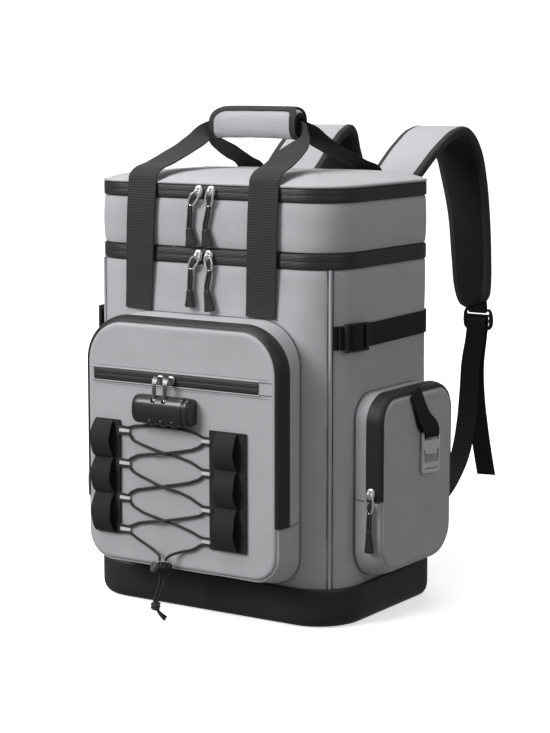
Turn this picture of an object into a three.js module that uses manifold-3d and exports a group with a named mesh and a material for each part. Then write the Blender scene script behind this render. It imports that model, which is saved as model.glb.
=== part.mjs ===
// Insulated two-compartment backpack standing on its moulded base.
// Millimetres. +Z up, front towards -Y, the wearer's back panel towards +Y,
// +X on the right of somebody facing the front. Origin: middle of the base,
// on the floor.
import * as THREE from 'three';
import { mergeVertices } from 'three/addons/utils/BufferGeometryUtils.js';
import Module from 'manifold-3d';

const wasm = await Module();
wasm.setup();

// ------------------------------------------------------------------ sizes
const GAP = 0.3; // clearance between pieces that touch

const BODY = { width: 314.1, depth: 203.4, frontRadius: 48, backRadius: 25, wall: 8 };
const LEVEL = {
  bootTop: 41.4, mainZipLow: 370.75, mainZipHigh: 388.9,
  lidZipLow: 438.4, lidZipHigh: 455.0,
};
const BOOT = { proud: 6, floor: 4, edge: 12 };
const BAND = { proud: 0.8, inset: 3.2 };
const FRONT_Y = -BODY.depth / 2;
const BACK_Y = BODY.depth / 2;
const SIDE_X = BODY.width / 2;

const POCKET_FACE_Y = -152.0;
const POCKET_WALL = 3;
const SIDE_FACE_X = 193.0;
const ZIP_TAPE = 1.0;

const WEBBING = { thick: 1.7, handle: 37, strap: 25 };
const CORD = { radius: 1.5, sides: 8 };

const FABRIC = 0xb4b4b8, BLACK = 0x2b2b2e, BASE = 0x333336, METAL = 0xd6d8da;

// ---------------------------------------------------------------- helpers
const V = (x, y, z) => new THREE.Vector3(x, y, z);

function geometryOf(positions, indices) {
  let volume = 0;
  const p = (i) => [positions[3 * i], positions[3 * i + 1], positions[3 * i + 2]];
  for (let k = 0; k < indices.length; k += 3) {
    const [a, b, c] = [p(indices[k]), p(indices[k + 1]), p(indices[k + 2])];
    volume += a[0] * (b[1] * c[2] - b[2] * c[1])
      - a[1] * (b[0] * c[2] - b[2] * c[0])
      + a[2] * (b[0] * c[1] - b[1] * c[0]);
  }
  if (volume < 0) {
    for (let k = 0; k < indices.length; k += 3) {
      const t = indices[k + 1]; indices[k + 1] = indices[k + 2]; indices[k + 2] = t;
    }
  }
  const geometry = new THREE.BufferGeometry();
  geometry.setAttribute('position', new THREE.Float32BufferAttribute(positions, 3));
  geometry.setIndex(indices);
  return geometry;
}

// A closed skin over rings with the same number of points. The first and last
// rings are capped, or joined to each other when loop is true. A ribbon's ring
// runs along one side of a bent strip and back along the other.
function skin(rings, { loop = false, ribbon = false } = {}) {
  const n = rings[0].length, m = rings.length, positions = [], indices = [];
  for (const ring of rings) for (const q of ring) positions.push(q.x, q.y, q.z);
  for (let i = 0; i < (loop ? m : m - 1); i++) {
    const a = i * n, b = ((i + 1) % m) * n;
    for (let j = 0; j < n; j++) {
      const k = (j + 1) % n;
      indices.push(a + j, a + k, b + k, a + j, b + k, b + j);
    }
  }
  if (!loop) {
    for (const [i, flip] of [[0, true], [m - 1, false]]) {
      if (ribbon) {
        for (let j = 0; j < n / 2 - 1; j++) {
          const [a, b, c, d] = [j, j + 1, n - 2 - j, n - 1 - j].map((k) => i * n + k);
          if (flip) indices.push(a, c, b, a, d, c); else indices.push(a, b, c, a, c, d);
        }
        continue;
      }
      const centre = V(0, 0, 0);
      for (const q of rings[i]) centre.addScaledVector(q, 1 / n);
      const c = positions.length / 3;
      positions.push(centre.x, centre.y, centre.z);
      for (let j = 0; j < n; j++) {
        const k = (j + 1) % n, a = i * n;
        if (flip) indices.push(c, a + k, a + j); else indices.push(c, a + j, a + k);
      }
    }
  }
  return geometryOf(positions, indices);
}

function solidOf(geometry) {
  const g = (geometry.index ? geometry.toNonIndexed() : geometry.clone());
  g.deleteAttribute('normal'); g.deleteAttribute('uv');
  const merged = mergeVertices(g, 1e-4);
  return new wasm.Manifold(new wasm.Mesh({
    numProp: 3,
    vertProperties: new Float32Array(merged.attributes.position.array),
    triVerts: new Uint32Array(merged.index.array),
  }));
}

function meshGeometry(solid) {
  const mesh = solid.getMesh();
  const positions = [];
  for (let i = 0; i < mesh.vertProperties.length; i += mesh.numProp) {
    positions.push(mesh.vertProperties[i], mesh.vertProperties[i + 1], mesh.vertProperties[i + 2]);
  }
  return geometryOf(positions, Array.from(mesh.triVerts));
}

const moved = (geometry, x, y, z) => geometry.clone().translate(x, y, z);
const box = (x0, x1, y0, y1, z0, z1) =>
  moved(new THREE.BoxGeometry(x1 - x0, y1 - y0, z1 - z0), (x0 + x1) / 2, (y0 + y1) / 2, (z0 + z1) / 2);

const joined = (...parts) => meshGeometry(parts.map(solidOf).reduce((a, b) => a.add(b)));
function cut(base, ...tools) {
  let solid = solidOf(base);
  for (const tool of tools) solid = solid.subtract(solidOf(tool));
  return meshGeometry(solid);
}

// A flat plate: x through its thickness, y across, z up.
const plate = (outline, thick) => skin([-thick / 2, thick / 2].map((x) => outline.map(([y, z]) => V(x, y, z))));
function bevelled(wide, tall, k) { // rectangle with its corners cut off
  const w = wide / 2, h = tall / 2;
  return [[-w + k, -h], [w - k, -h], [w, -h + k], [w, h - k], [w - k, h], [-w + k, h], [-w, h - k], [-w, -h + k]];
}

const model = new THREE.Group();
function piece(name, geometry, colour, roughness = 0.8, metalness = 0) {
  const mesh = new THREE.Mesh(geometry, new THREE.MeshStandardMaterial({ color: colour, roughness, metalness }));
  mesh.name = name;
  model.add(mesh);
  return mesh;
}

function arc(cx, cy, r, from, to, steps) {
  const out = [];
  for (let i = 0; i <= steps; i++) {
    const a = THREE.MathUtils.degToRad(from + (to - from) * i / steps);
    out.push([cx + r * Math.cos(a), cy + r * Math.sin(a)]);
  }
  return out;
}

// Plan of the body, pushed out by off: round front corners, tighter back ones.
const FRONT_STEPS = 7, BACK_STEPS = 4;
function bodyPlan(off) {
  const f = Math.max(BODY.frontRadius + off, 3), b = Math.max(BODY.backRadius + off, 3);
  const x = SIDE_X + off, front = FRONT_Y - off, back = BACK_Y + off;
  return [
    ...arc(x - f, front + f, f, -90, 0, FRONT_STEPS),
    ...arc(x - b, back - b, b, 0, 90, BACK_STEPS),
    ...arc(-x + b, back - b, b, 90, 180, BACK_STEPS),
    ...arc(-x + f, front + f, f, 180, 270, FRONT_STEPS),
  ];
}
const level = (off, z) => bodyPlan(off).map(([x, y]) => V(x, y, z));

// ------------------------------------------------------------ main column
piece('base_boot', skin([
  level(BOOT.proud - BOOT.edge, 0),
  level(BOOT.proud - 5, 2.2),
  level(BOOT.proud - 1, 7),
  level(BOOT.proud, BOOT.edge + 1),
  level(BOOT.proud, LEVEL.bootTop - 1.5),
  level(BOOT.proud - 1.5, LEVEL.bootTop),
  level(GAP, LEVEL.bootTop),
  level(GAP, BOOT.floor),
]), BASE, 0.45);

const tub = (z0, z1, floor, bulge) => skin([
  level(-3, z0),
  level(0, z0 + 3),
  level(bulge, (z0 + z1) / 2),
  level(0, z1),
  level(-BODY.wall, z1),
  level(-BODY.wall, z0 + floor),
]);
piece('main_shell', tub(BOOT.floor + GAP, LEVEL.mainZipLow - GAP, 8, 0), FABRIC, 0.85);
piece('upper_shell', tub(LEVEL.mainZipHigh + GAP, LEVEL.lidZipLow - GAP, 8, 0.9), FABRIC, 0.85);

const band = (z0, z1) => skin([
  level(-BAND.inset, z0), level(BAND.proud, z0), level(BAND.proud, z1), level(-BAND.inset, z1),
], { loop: true });
piece('main_zip_band', band(LEVEL.mainZipLow, LEVEL.mainZipHigh), BLACK, 0.7);
piece('lid_zip_band', band(LEVEL.lidZipLow, LEVEL.lidZipHigh), BLACK, 0.7);

const LID_ROWS = [ // how far the plan is pushed out, height above the lid zip
  { off: -50, up: 3.6 }, { off: -14, up: 2.6 }, { off: -9, up: GAP }, { off: 0.4, up: GAP }, { off: 0.9, up: 2.6 },
  { off: -2.4, up: 5.2 }, { off: -10, up: 7.0 }, { off: -24, up: 9.0 }, { off: -50, up: 11.2 }, { off: -78, up: 12.4 },
];
piece('lid_panel', skin(LID_ROWS.map(({ off, up }) => level(off, LEVEL.lidZipHigh + up))), FABRIC, 0.85);

// Piping down each front corner, over the seam between front and side panels.
const PIPING = { radius: 2.2, sides: 8, angle: -45 };
for (const [name, side] of [['piping_right', 1], ['piping_left', -1]]) {
  const a = THREE.MathUtils.degToRad(PIPING.angle);
  const r = BODY.frontRadius + GAP + PIPING.radius;
  const cx = side * (SIDE_X - BODY.frontRadius + r * Math.cos(a));
  const cy = FRONT_Y + BODY.frontRadius + r * Math.sin(a);
  const rail = (z) => arc(cx, cy, PIPING.radius, 0, 360, PIPING.sides).slice(0, PIPING.sides)
    .map(([x, y]) => V(x, y, z));
  piece(name, skin([rail(LEVEL.bootTop + GAP), rail(LEVEL.mainZipLow - 1)]), FABRIC, 0.85);
}

// ---------------------------------------------------------- ribbons, cords
// A flat strip through rows of { x, y, z, w }: w is its width, across the
// direction `across` made square to the run.
function strip(rows, { thick, across = V(1, 0, 0), round = 0 }) {
  const points = rows.map((r) => V(r.x, r.y, r.z));
  const rings = points.map((q, i) => {
    const t = points[Math.min(i + 1, points.length - 1)].clone().sub(points[Math.max(i - 1, 0)]).normalize();
    const ref = rows[i].across || across;
    const u = ref.clone().addScaledVector(t, -ref.dot(t)).normalize();
    const v = t.clone().cross(u);
    const hw = (rows[i].w) / 2, ht = (rows[i].t || thick) / 2;
    const corners = round > 0
      ? [[-hw, -ht + round], [-hw + round, -ht], [hw - round, -ht], [hw, -ht + round],
        [hw, ht - round], [hw - round, ht], [-hw + round, ht], [-hw, ht - round]]
      : [[-hw, -ht], [hw, -ht], [hw, ht], [-hw, ht]];
    return corners.map(([a, b]) => q.clone().addScaledVector(u, a).addScaledVector(v, b));
  });
  return skin(rings);
}

// A round cord through points, each ring turned as little as possible.
function cord(points, radius = CORD.radius, sides = CORD.sides) {
  const rings = [];
  let u = null;
  points.forEach((q, i) => {
    const t = points[Math.min(i + 1, points.length - 1)].clone().sub(points[Math.max(i - 1, 0)]).normalize();
    if (!u) u = Math.abs(t.z) < 0.9 ? V(0, 0, 1) : V(0, 1, 0);
    u = u.clone().addScaledVector(t, -u.dot(t)).normalize();
    const v = t.clone().cross(u);
    rings.push(arc(0, 0, radius, 0, 360, sides).slice(0, sides)
      .map(([a, b]) => q.clone().addScaledVector(u, a).addScaledVector(v, b)));
  });
  return skin(rings);
}

const mirrored = (rows) => rows.map((r) => ({ ...r, x: -r.x }));

// ----------------------------------------------------------------- handle
// Two webbing loops, front and back, gathered in one padded grip.
const GRIP = { x0: -57.5, x1: 49.5, y: 0, z: 514, tall: 34, deep: 31 };
const GRIP_WEB = { z: 509.5, w: 16 }; // the webbing inside it
const DOWN = V(0, 0, -1);
const webOut = 0.9 + GAP + 0.05 + WEBBING.thick / 2;
const FRONT_LEGS = { // x of the leg's middle at its foot and at the lid
  left: { foot: -87, top: -80.5, side: -1 }, right: { foot: 69, top: 73.5, side: 1 },
};
const lerp = (a, b, t) => a + (b - a) * t;
function legRows({ foot, top, side }, back, z0) {
  const s = back ? -1 : 1;
  const end = (side < 0 ? GRIP.x0 : GRIP.x1) + side * 8; // just outside the grip
  // The edge nearer the middle turns down until the webbing stands upright.
  const turn = (t) => V(-side * Math.cos(t), 0, -Math.sin(t));
  const span = [ // t along the rise, y, z, twist, width share
    { t: 0.00, y: -103.1, z: 461.8, twist: 0.0, w: 1.0 },
    { t: 0.03, y: -98.8, z: 466.0, twist: 0.0, w: 1.0 },
    { t: 0.28, y: -74, z: 474.0, twist: 0.02, w: 0.84 },
    { t: 0.52, y: -50, z: 482.3, twist: 0.05, w: 0.72 },
    { t: 0.76, y: -27, z: 491.3, twist: 0.4, w: 0.58 },
    { t: 0.90, y: -14.5, z: 499.2, twist: 0.95, w: 0.48 },
    { t: 1.00, y: -6.2, z: 506, twist: 1.4, w: 0.44 },
  ];
  return [
    { x: back ? top : foot, y: s * (FRONT_Y - webOut), z: z0, w: WEBBING.handle, across: turn(0) },
    { x: top, y: s * (FRONT_Y - webOut), z: LEVEL.lidZipHigh + 3, w: WEBBING.handle, across: turn(0) },
    ...span.map((r) => ({
      x: lerp(top, end, r.t * r.t * 0.4 + r.t * 0.6), y: s * r.y, z: r.z,
      w: WEBBING.handle * r.w, across: turn(r.twist),
    })),
  ];
}
function handleLoop(back, z0) {
  const s = back ? 1 : -1;
  const inGrip = [GRIP.x0 - 2, GRIP.x0 + 6, GRIP.x1 - 6, GRIP.x1 + 2].map((x) => ({
    x, y: s * 2.0, z: GRIP_WEB.z, w: GRIP_WEB.w, across: DOWN,
  }));
  return strip([
    ...legRows(FRONT_LEGS.left, back, z0), ...inGrip, ...legRows(FRONT_LEGS.right, back, z0).reverse(),
  ], { thick: WEBBING.thick });
}
piece('handle_web_front', handleLoop(false, 319.5), BLACK, 0.75);
piece('handle_web_back', handleLoop(true, 434), BLACK, 0.75);

const gripSection = (share) => {
  const out = [];
  for (const [y, z] of arc(0, 0, 1, 0, 360, 14).slice(0, 14)) {
    const p = 0.8; // squarer than an ellipse
    out.push([Math.sign(y) * Math.abs(y) ** p * GRIP.deep / 2 * share,
      Math.sign(z) * Math.abs(z) ** p * GRIP.tall / 2 * share]);
  }
  return out;
};
const gripRing = (x, share) => gripSection(share).map(([y, z]) => V(x, GRIP.y + y, GRIP.z + z));
const slot = { y: 4.3, z: 9.6 };
piece('handle_grip', cut(
  skin([
    gripRing(GRIP.x0, 0.8), gripRing(GRIP.x0 + 2.5, 0.92), gripRing(GRIP.x0 + 7, 1),
    gripRing(GRIP.x1 - 7, 1), gripRing(GRIP.x1 - 2.5, 0.92), gripRing(GRIP.x1, 0.8),
  ]),
  box(GRIP.x0 - 5, GRIP.x1 + 5, -slot.y, slot.y, GRIP_WEB.z - slot.z, GRIP_WEB.z + slot.z),
), FABRIC, 0.85);

// ---------------------------------------------------------- shoulder straps
const PAD = { thick: 10, round: 3 };
const PAD_ROWS = [ // middle of the strap's outer face, and its width
  { x: 71, y: 112.5, z: 392, w: 58 },
  { x: 71, y: 113.5, z: 412, w: 60 },
  { x: 71, y: 124, z: 430, w: 60 },
  { x: 71, y: 143, z: 443, w: 60 },
  { x: 71, y: 168, z: 458, w: 60 },
  { x: 72, y: 215, z: 488, w: 61 },
  { x: 73.5, y: 250, z: 505.5, w: 63 },
  { x: 74.5, y: 270, z: 509, w: 64 },
  { x: 76, y: 291, z: 500, w: 62 },
  { x: 78, y: 307, z: 480, w: 60 },
  { x: 81, y: 318, z: 443, w: 56 },
  { x: 83, y: 326, z: 405, w: 52 },
  { x: 85, y: 331, z: 348, w: 48 },
  { x: 89, y: 327, z: 312, w: 42, t: 9 },
  { x: 91.5, y: 323.2, z: 302, w: 37, t: 8 },
  { x: 94, y: 320.9, z: 294.5, w: 29, t: 7 },
];
function padRows() {
  return PAD_ROWS.map((r, i) => {
    const a = PAD_ROWS[Math.max(i - 1, 0)], b = PAD_ROWS[Math.min(i + 1, PAD_ROWS.length - 1)];
    const ty = b.y - a.y, tz = b.z - a.z, l = Math.hypot(ty, tz);
    const half = (r.t || PAD.thick) / 2;
    return { ...r, y: r.y + (tz / l) * -half, z: r.z + (ty / l) * -half };
  });
}
// Lower webbing: up from the foot of the back panel, round the middle bar of
// the adjuster and down again as a loose tail.
const LOCK = { x: 95.5, y: 324, z: 277.5, wide: 35, tall: 24, thick: 4, slotHalf: 13.7 };
const LOCK_SLOTS = [[5.2, 9], [-1, 2.8], [-8.5, -4]]; // heights from the middle
const WEB_ROWS = [
  { x: 128, y: 103.5, z: 46 }, { x: 127.4, y: 104.6, z: 55 }, { x: 124, y: 128, z: 65 },
  { x: 117, y: 180, z: 80 }, { x: 108, y: 235, z: 98 }, { x: 100, y: 278, z: 125 },
  { x: 94.5, y: 300, z: 157 }, { x: 90.5, y: 313, z: 190 }, { x: 89.5, y: 319, z: 225 },
  { x: 94, y: 320.5, z: 256 }, { x: 95.5, y: 320.4, z: LOCK.z - 4.5 },
  { x: 95.5, y: 320.9, z: LOCK.z }, { x: 95.5, y: 324, z: LOCK.z + 1.0 }, { x: 95.5, y: 327.1, z: LOCK.z },
  { x: 95.5, y: 327.6, z: LOCK.z - 4.5 }, { x: 94, y: 327.7, z: 256 }, { x: 89.5, y: 330, z: 222 },
  { x: 88.5, y: 335, z: 182 }, { x: 89.5, y: 341, z: 150 }, { x: 91, y: 350, z: 112 },
  { x: 92.5, y: 358, z: 82 },
].map((r) => ({ ...r, w: WEBBING.strap }));
// Short loop sewn into the strap's lower end, round the adjuster's top bar.
const LOOP_ROWS = [
  { y: 322.4, z: 299 }, { y: 320.8, z: 290.5 }, { y: 320.7, z: LOCK.z + 10 }, { y: 321.1, z: LOCK.z + 8.1 },
  { y: 324, z: LOCK.z + 7.4 }, { y: 326.9, z: LOCK.z + 8.1 }, { y: 327.3, z: LOCK.z + 10 }, { y: 327.2, z: 290.5 },
  { y: 325.6, z: 299 },
].map((r) => ({ ...r, x: LOCK.x, w: 22 }));

for (const [name, side] of [['right', 1], ['left', -1]]) {
  const put = (rows) => (side > 0 ? rows : mirrored(rows));
  piece(`shoulder_pad_${name}`, joined(
    strip(put(padRows()), { thick: PAD.thick, round: PAD.round }),
    strip(put(LOOP_ROWS), { thick: 1.5 }),
  ), BLACK, 0.9);
  piece(`shoulder_web_${name}`, strip(put(WEB_ROWS), { thick: WEBBING.thick }), BLACK, 0.75);
  const x = side * LOCK.x;
  piece(`strap_adjuster_${name}`, cut(
    box(x - LOCK.wide / 2, x + LOCK.wide / 2, LOCK.y - LOCK.thick / 2, LOCK.y + LOCK.thick / 2,
      LOCK.z - LOCK.tall / 2, LOCK.z + LOCK.tall / 2),
    ...LOCK_SLOTS.map(([z0, z1]) => box(x - LOCK.slotHalf, x + LOCK.slotHalf, LOCK.y - 9, LOCK.y + 9, LOCK.z + z0, LOCK.z + z1)),
  ), BLACK, 0.4);
}

// ------------------------------------------------------------ side straps
const SIDE_STRAP = { low: 292.5, high: 317.5, thick: 1.6, from: -34, tail: 24 };
const BUCKLE = { angle: -12, long: 36, tall: 31, thick: 5, stand: 2.6 };
for (const [name, side] of [['right', 1], ['left', -1]]) {
  const { frontRadius: f, backRadius: b } = BODY;
  const run = (off) => [
    ...arc(SIDE_X - f, FRONT_Y + f, f + off, -90, 0, FRONT_STEPS).slice(4),
    ...arc(SIDE_X - b, BACK_Y - b, b + off, 0, 90, BACK_STEPS),
    [SIDE_X - b - SIDE_STRAP.tail, BACK_Y + off],
  ];
  const inner = run(GAP), outer = run(GAP + SIDE_STRAP.thick);
  const rings = inner.map(([x, y], i) => [
    V(side * x, y, SIDE_STRAP.low), V(side * x, y, SIDE_STRAP.high),
    V(side * outer[i][0], outer[i][1], SIDE_STRAP.high), V(side * outer[i][0], outer[i][1], SIDE_STRAP.low),
  ]);
  piece(`side_strap_${name}`, skin(rings), BLACK, 0.75);

  // Fastened slide buckle: a frame with a middle bar, lying along the corner.
  const a = THREE.MathUtils.degToRad(BUCKLE.angle);
  const n = V(Math.cos(a), Math.sin(a), 0), t = V(-Math.sin(a), Math.cos(a), 0);
  const c = V(SIDE_X - f, FRONT_Y + f, 305).addScaledVector(n, f + BUCKLE.stand + BUCKLE.thick / 2);
  const g = cut(
    plate(bevelled(BUCKLE.long, BUCKLE.tall, 3), BUCKLE.thick),
    box(-9, 9, -12.5, -6.5, -12.8, 12.8), box(-9, 9, 6.5, 12.5, -12.8, 12.8),
  );
  g.applyMatrix4(new THREE.Matrix4().makeBasis(n, t, V(0, 0, 1)).setPosition(c));
  if (side < 0) g.applyMatrix4(new THREE.Matrix4().makeScale(-1, 1, 1));
  piece(`side_buckle_${name}`, fixed(g), BLACK, 0.4);
}
function mergeBare(g) {
  const bare = g.index ? g.toNonIndexed() : g.clone();
  bare.deleteAttribute('normal'); bare.deleteAttribute('uv');
  return mergeVertices(bare, 1e-4);
}

// ---------------------------------------------------------------- pockets
// Outline of a pocket across its depth: width from u0 to u1, height z0 to z1,
// top corners of radius rt and bottom corners of radius rb.
function pocketOutline({ u0, u1, z0, z1, rt, rb }, off = 0) {
  return [
    ...arc(u1 - rb, z0 + rb, rb + off, -90, 0, 5),
    ...arc(u1 - rt, z1 - rt, rt + off, 0, 90, 6),
    ...arc(u0 + rt, z1 - rt, rt + off, 90, 180, 6),
    ...arc(u0 + rb, z0 + rb, rb + off, 180, 270, 5),
  ];
}
const FRONT_ROWS = [ // d: distance from the body, outline at that depth
  { d: 0.3, u0: -116, u1: 116, z0: 43.5, z1: 317.6, rt: 46, rb: 30 },
  { d: 10, u0: -119, u1: 119, z0: 45, z1: 317.8, rt: 47, rb: 31 },
  { d: 29, u0: -122, u1: 122, z0: 49.5, z1: 316.8, rt: 48, rb: 32 },
  { d: 42, u0: -122, u1: 122, z0: 52.5, z1: 315.0, rt: 47, rb: 31 },
  { d: 47.5, u0: -120.6, u1: 120.6, z0: 54.5, z1: 312.0, rt: 45, rb: 29 },
  { d: 50.3, u0: -117, u1: 117, z0: 58, z1: 308, rt: 41, rb: 25 },
];
const SIDE_ROWS = [
  { d: 0.3, u0: -62, u1: 79, z0: 48, z1: 241, rt: 27, rb: 33 },
  { d: 8, u0: -65, u1: 81, z0: 48.5, z1: 242, rt: 28, rb: 34 },
  { d: 17, u0: -67, u1: 83, z0: 50, z1: 242.5, rt: 29, rb: 35 },
  { d: 28, u0: -67, u1: 83, z0: 53.5, z1: 241.5, rt: 29, rb: 34 },
  { d: 33.5, u0: -65.8, u1: 81.8, z0: 57, z1: 239, rt: 27, rb: 32 },
  { d: 36, u0: -62.5, u1: 78.5, z0: 61, z1: 235.5, rt: 23, rb: 28 },
];
function pocketShell(rows, place, flatD) {
  const last = rows[rows.length - 1];
  const outer = rows.map((r) => pocketOutline(r).map(([u, z]) => place(r.d, u, z)));
  const inner = rows.slice(0, -1).map((r) => pocketOutline(r, -POCKET_WALL)
    .map(([u, z]) => place(Math.min(r.d, flatD - POCKET_WALL), u, z)));
  inner[inner.length - 1] = pocketOutline(last, -POCKET_WALL).map(([u, z]) => place(flatD - POCKET_WALL, u, z));
  return skin([...inner.reverse(), ...outer]);
}
const onFront = (d, u, z) => V(u, FRONT_Y - d, z);
const onSide = (d, u, z) => V(SIDE_X + d, u, z);
piece('front_pocket', pocketShell(FRONT_ROWS, onFront, -POCKET_FACE_Y + FRONT_Y), FABRIC, 0.85);
piece('side_pocket', pocketShell(SIDE_ROWS, onSide, SIDE_FACE_X - SIDE_X), FABRIC, 0.85);

// The zip round a pocket: a tape lying on the gusset beside the face, from
// one lower end up, over the top and down to the other.
function pocketZip(rows, place, endLeft, endRight) {
  const path = (r, off) => [
    [r.u0 - off, endLeft],
    ...arc(r.u0 + r.rt, r.z1 - r.rt, r.rt + off, 180, 90, 6),
    ...arc(r.u1 - r.rt, r.z1 - r.rt, r.rt + off, 90, 0, 6),
    [r.u1 + off, endRight],
  ];
  const lift = GAP + 0.06; // the gusset slopes under the tape
  const outer = rows.map((r) => path(r, lift + ZIP_TAPE)), inner = rows.map((r) => path(r, lift));
  const rings = outer[0].map((_, i) => [
    ...rows.map((r, k) => place(r.d, ...outer[k][i])),
    ...rows.map((r, k) => place(r.d, ...inner[k][i])).reverse(),
  ]);
  return skin(rings, { ribbon: true });
}
const FRONT_ZIP = [FRONT_ROWS[2], FRONT_ROWS[3], FRONT_ROWS[4]];
const SIDE_ZIP = [SIDE_ROWS[2], SIDE_ROWS[3], SIDE_ROWS[4]];
piece('front_pocket_zip', pocketZip(FRONT_ZIP, onFront, 122, 113), BLACK, 0.7);
piece('side_pocket_zip', pocketZip(SIDE_ZIP, onSide, 134, 134), BLACK, 0.7);

// ---------------------------------------------- zip across the front pocket
const faceOut = (d) => POCKET_FACE_Y - d;
const FACE_ZIP = { x0: -110, x1: 98, z0: 248.4, z1: 260.8 };
piece('face_zip', box(FACE_ZIP.x0, FACE_ZIP.x1, faceOut(GAP + ZIP_TAPE), faceOut(GAP), FACE_ZIP.z0, FACE_ZIP.z1), BLACK, 0.7);

// ----------------------------------------------------------- combination lock
const CASE = { x0: -51.5, x1: 12.2, z: 223.5 };
const BUTTON = { x0: 14.2, x1: 23.4, travel: 1.7 };
const CASE_PROFILE = [ // d out from the pocket face, h from the lock's middle
  { d: 0, h: -14 }, { d: 6, h: -14.9 }, { d: 12, h: -14.3 }, { d: 15.5, h: -11 }, { d: 17.2, h: -4.5 },
  { d: 17.2, h: 2.5 }, { d: 15.5, h: 10 }, { d: 12, h: 14 }, { d: 7, h: 15.1 }, { d: 0, h: 14 },
];
const caseRing = (x, s) => CASE_PROFILE.map(({ d, h }) => V(x, faceOut(GAP + d * (0.35 + 0.65 * s)), CASE.z + h * s));
const DIAL = { radius: 6.6, bore: 1.9, wide: 6.4, y: faceOut(GAP + 8.8), z: 213.4, xs: [-27, -12.8, 1.4] };
const rod = (r, x0, x1, y, z, sides = 16) => {
  const g = new THREE.CylinderGeometry(r, r, x1 - x0, sides);
  g.rotateZ(Math.PI / 2);
  return moved(g, (x0 + x1) / 2, y, z);
};
const TAB = { xs: [-21.5, -8], wide: 7.4, thick: 1.2 };
{
  let solid = solidOf(skin([
    caseRing(CASE.x0, 0.7), caseRing(CASE.x0 + 1.4, 0.86), caseRing(CASE.x0 + 4, 0.96),
    caseRing(CASE.x0 + 8, 1), caseRing(CASE.x1, 1),
  ]));
  for (const x of DIAL.xs) {
    solid = solid.subtract(solidOf(rod(DIAL.radius + 0.5, x - DIAL.wide / 2 - 0.5, x + DIAL.wide / 2 + 0.5, DIAL.y, DIAL.z)));
    solid = solid.subtract(solidOf(box(x - DIAL.wide / 2 - 0.5, x + DIAL.wide / 2 + 0.5,
      DIAL.y - DIAL.radius - 0.5, DIAL.y + DIAL.radius + 0.5, DIAL.z - 12, DIAL.z)));
  }
  solid = solid.add(solidOf(rod(DIAL.bore - 0.45, DIAL.xs[0] - 5, DIAL.xs[2] + 5, DIAL.y, DIAL.z, 12)));
  for (const x of TAB.xs) { // entry slots for the slider tabs
    solid = solid.subtract(solidOf(box(x - TAB.wide / 2 - 0.6, x + TAB.wide / 2 + 0.6,
      faceOut(GAP + 14.6), faceOut(GAP + 10.6), CASE.z + 8, CASE.z + 20)));
  }
  solid = solid.subtract(solidOf(box(CASE.x1 - 7.6, CASE.x1 + 1, faceOut(GAP + 12.4), faceOut(GAP + 3.6), CASE.z - 1.4, CASE.z + 6.4)));
  piece('lock_case', meshGeometry(solid), BLACK, 0.35);
}
DIAL.xs.forEach((x, i) => {
  piece(`lock_dial_${i + 1}`, cut(
    rod(DIAL.radius, x - DIAL.wide / 2, x + DIAL.wide / 2, DIAL.y, DIAL.z, 20),
    rod(DIAL.bore, x - DIAL.wide, x + DIAL.wide, DIAL.y, DIAL.z, 12),
  ), BLACK, 0.4);
});
piece('lock_button', joined(
  skin([caseRing(BUTTON.x0, 1), caseRing(BUTTON.x1 - 4.6, 1), caseRing(BUTTON.x1 - 1.7, 0.94), caseRing(BUTTON.x1, 0.8)]),
  box(CASE.x1 - 5.4, BUTTON.x0 + 1, faceOut(GAP + 12), faceOut(GAP + 4), CASE.z - 1, CASE.z + 6),
), BLACK, 0.35);

// ------------------------------------------------------------ zip sliders
// A slider: a shield-shaped body with a bridge standing on it. Local frame:
// x across, y out of the cloth, z up.
const SLIDER = { wide: 8.6, tall: 11.5, body: 3.2, bridge: 2.8, bridgeTall: 6.2, arch: 3.6, wall: 1.1 };
function sliderBody() {
  const w = SLIDER.wide / 2, h = SLIDER.tall / 2;
  const outline = [[-w * 0.62, -h], [w * 0.62, -h], [w, -h * 0.1], [w * 0.86, h * 0.7],
    [w * 0.4, h], [-w * 0.4, h], [-w * 0.86, h * 0.7], [-w, -h * 0.1]];
  const shield = skin([0, SLIDER.body].map((y) => outline.map(([x, z]) => V(x, y, z))));
  const b = SLIDER.bridge / 2, t = SLIDER.bridgeTall / 2, y0 = SLIDER.body - 0.4, y1 = SLIDER.body + SLIDER.arch;
  const profile = [[-t, y0], [-t, y1 - 1.2], [-t + 1.2, y1], [t - 1.2, y1], [t, y1 - 1.2], [t, y0]];
  const arch = skin([-b, b].map((x) => profile.map(([z, y]) => V(x, y, z))));
  const tunnel = box(-b - 2, b + 2, SLIDER.body, SLIDER.body + SLIDER.arch - SLIDER.wall, -t + SLIDER.wall, t - SLIDER.wall);
  return meshGeometry(solidOf(shield).add(solidOf(arch).subtract(solidOf(tunnel))));
}
function fixed(g) { // faces turned outwards whatever the basis change did
  const m = mergeBare(g);
  return geometryOf(Array.from(m.attributes.position.array), Array.from(m.index.array));
}
// Placed with its back at `at`; out is the direction out of the cloth.
function placed(geometry, at, out) {
  const up = V(0, 0, 1), across = out.clone().cross(up);
  const g = geometry.clone().applyMatrix4(new THREE.Matrix4().makeBasis(across, out, up).setPosition(at));
  return fixed(g);
}

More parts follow.
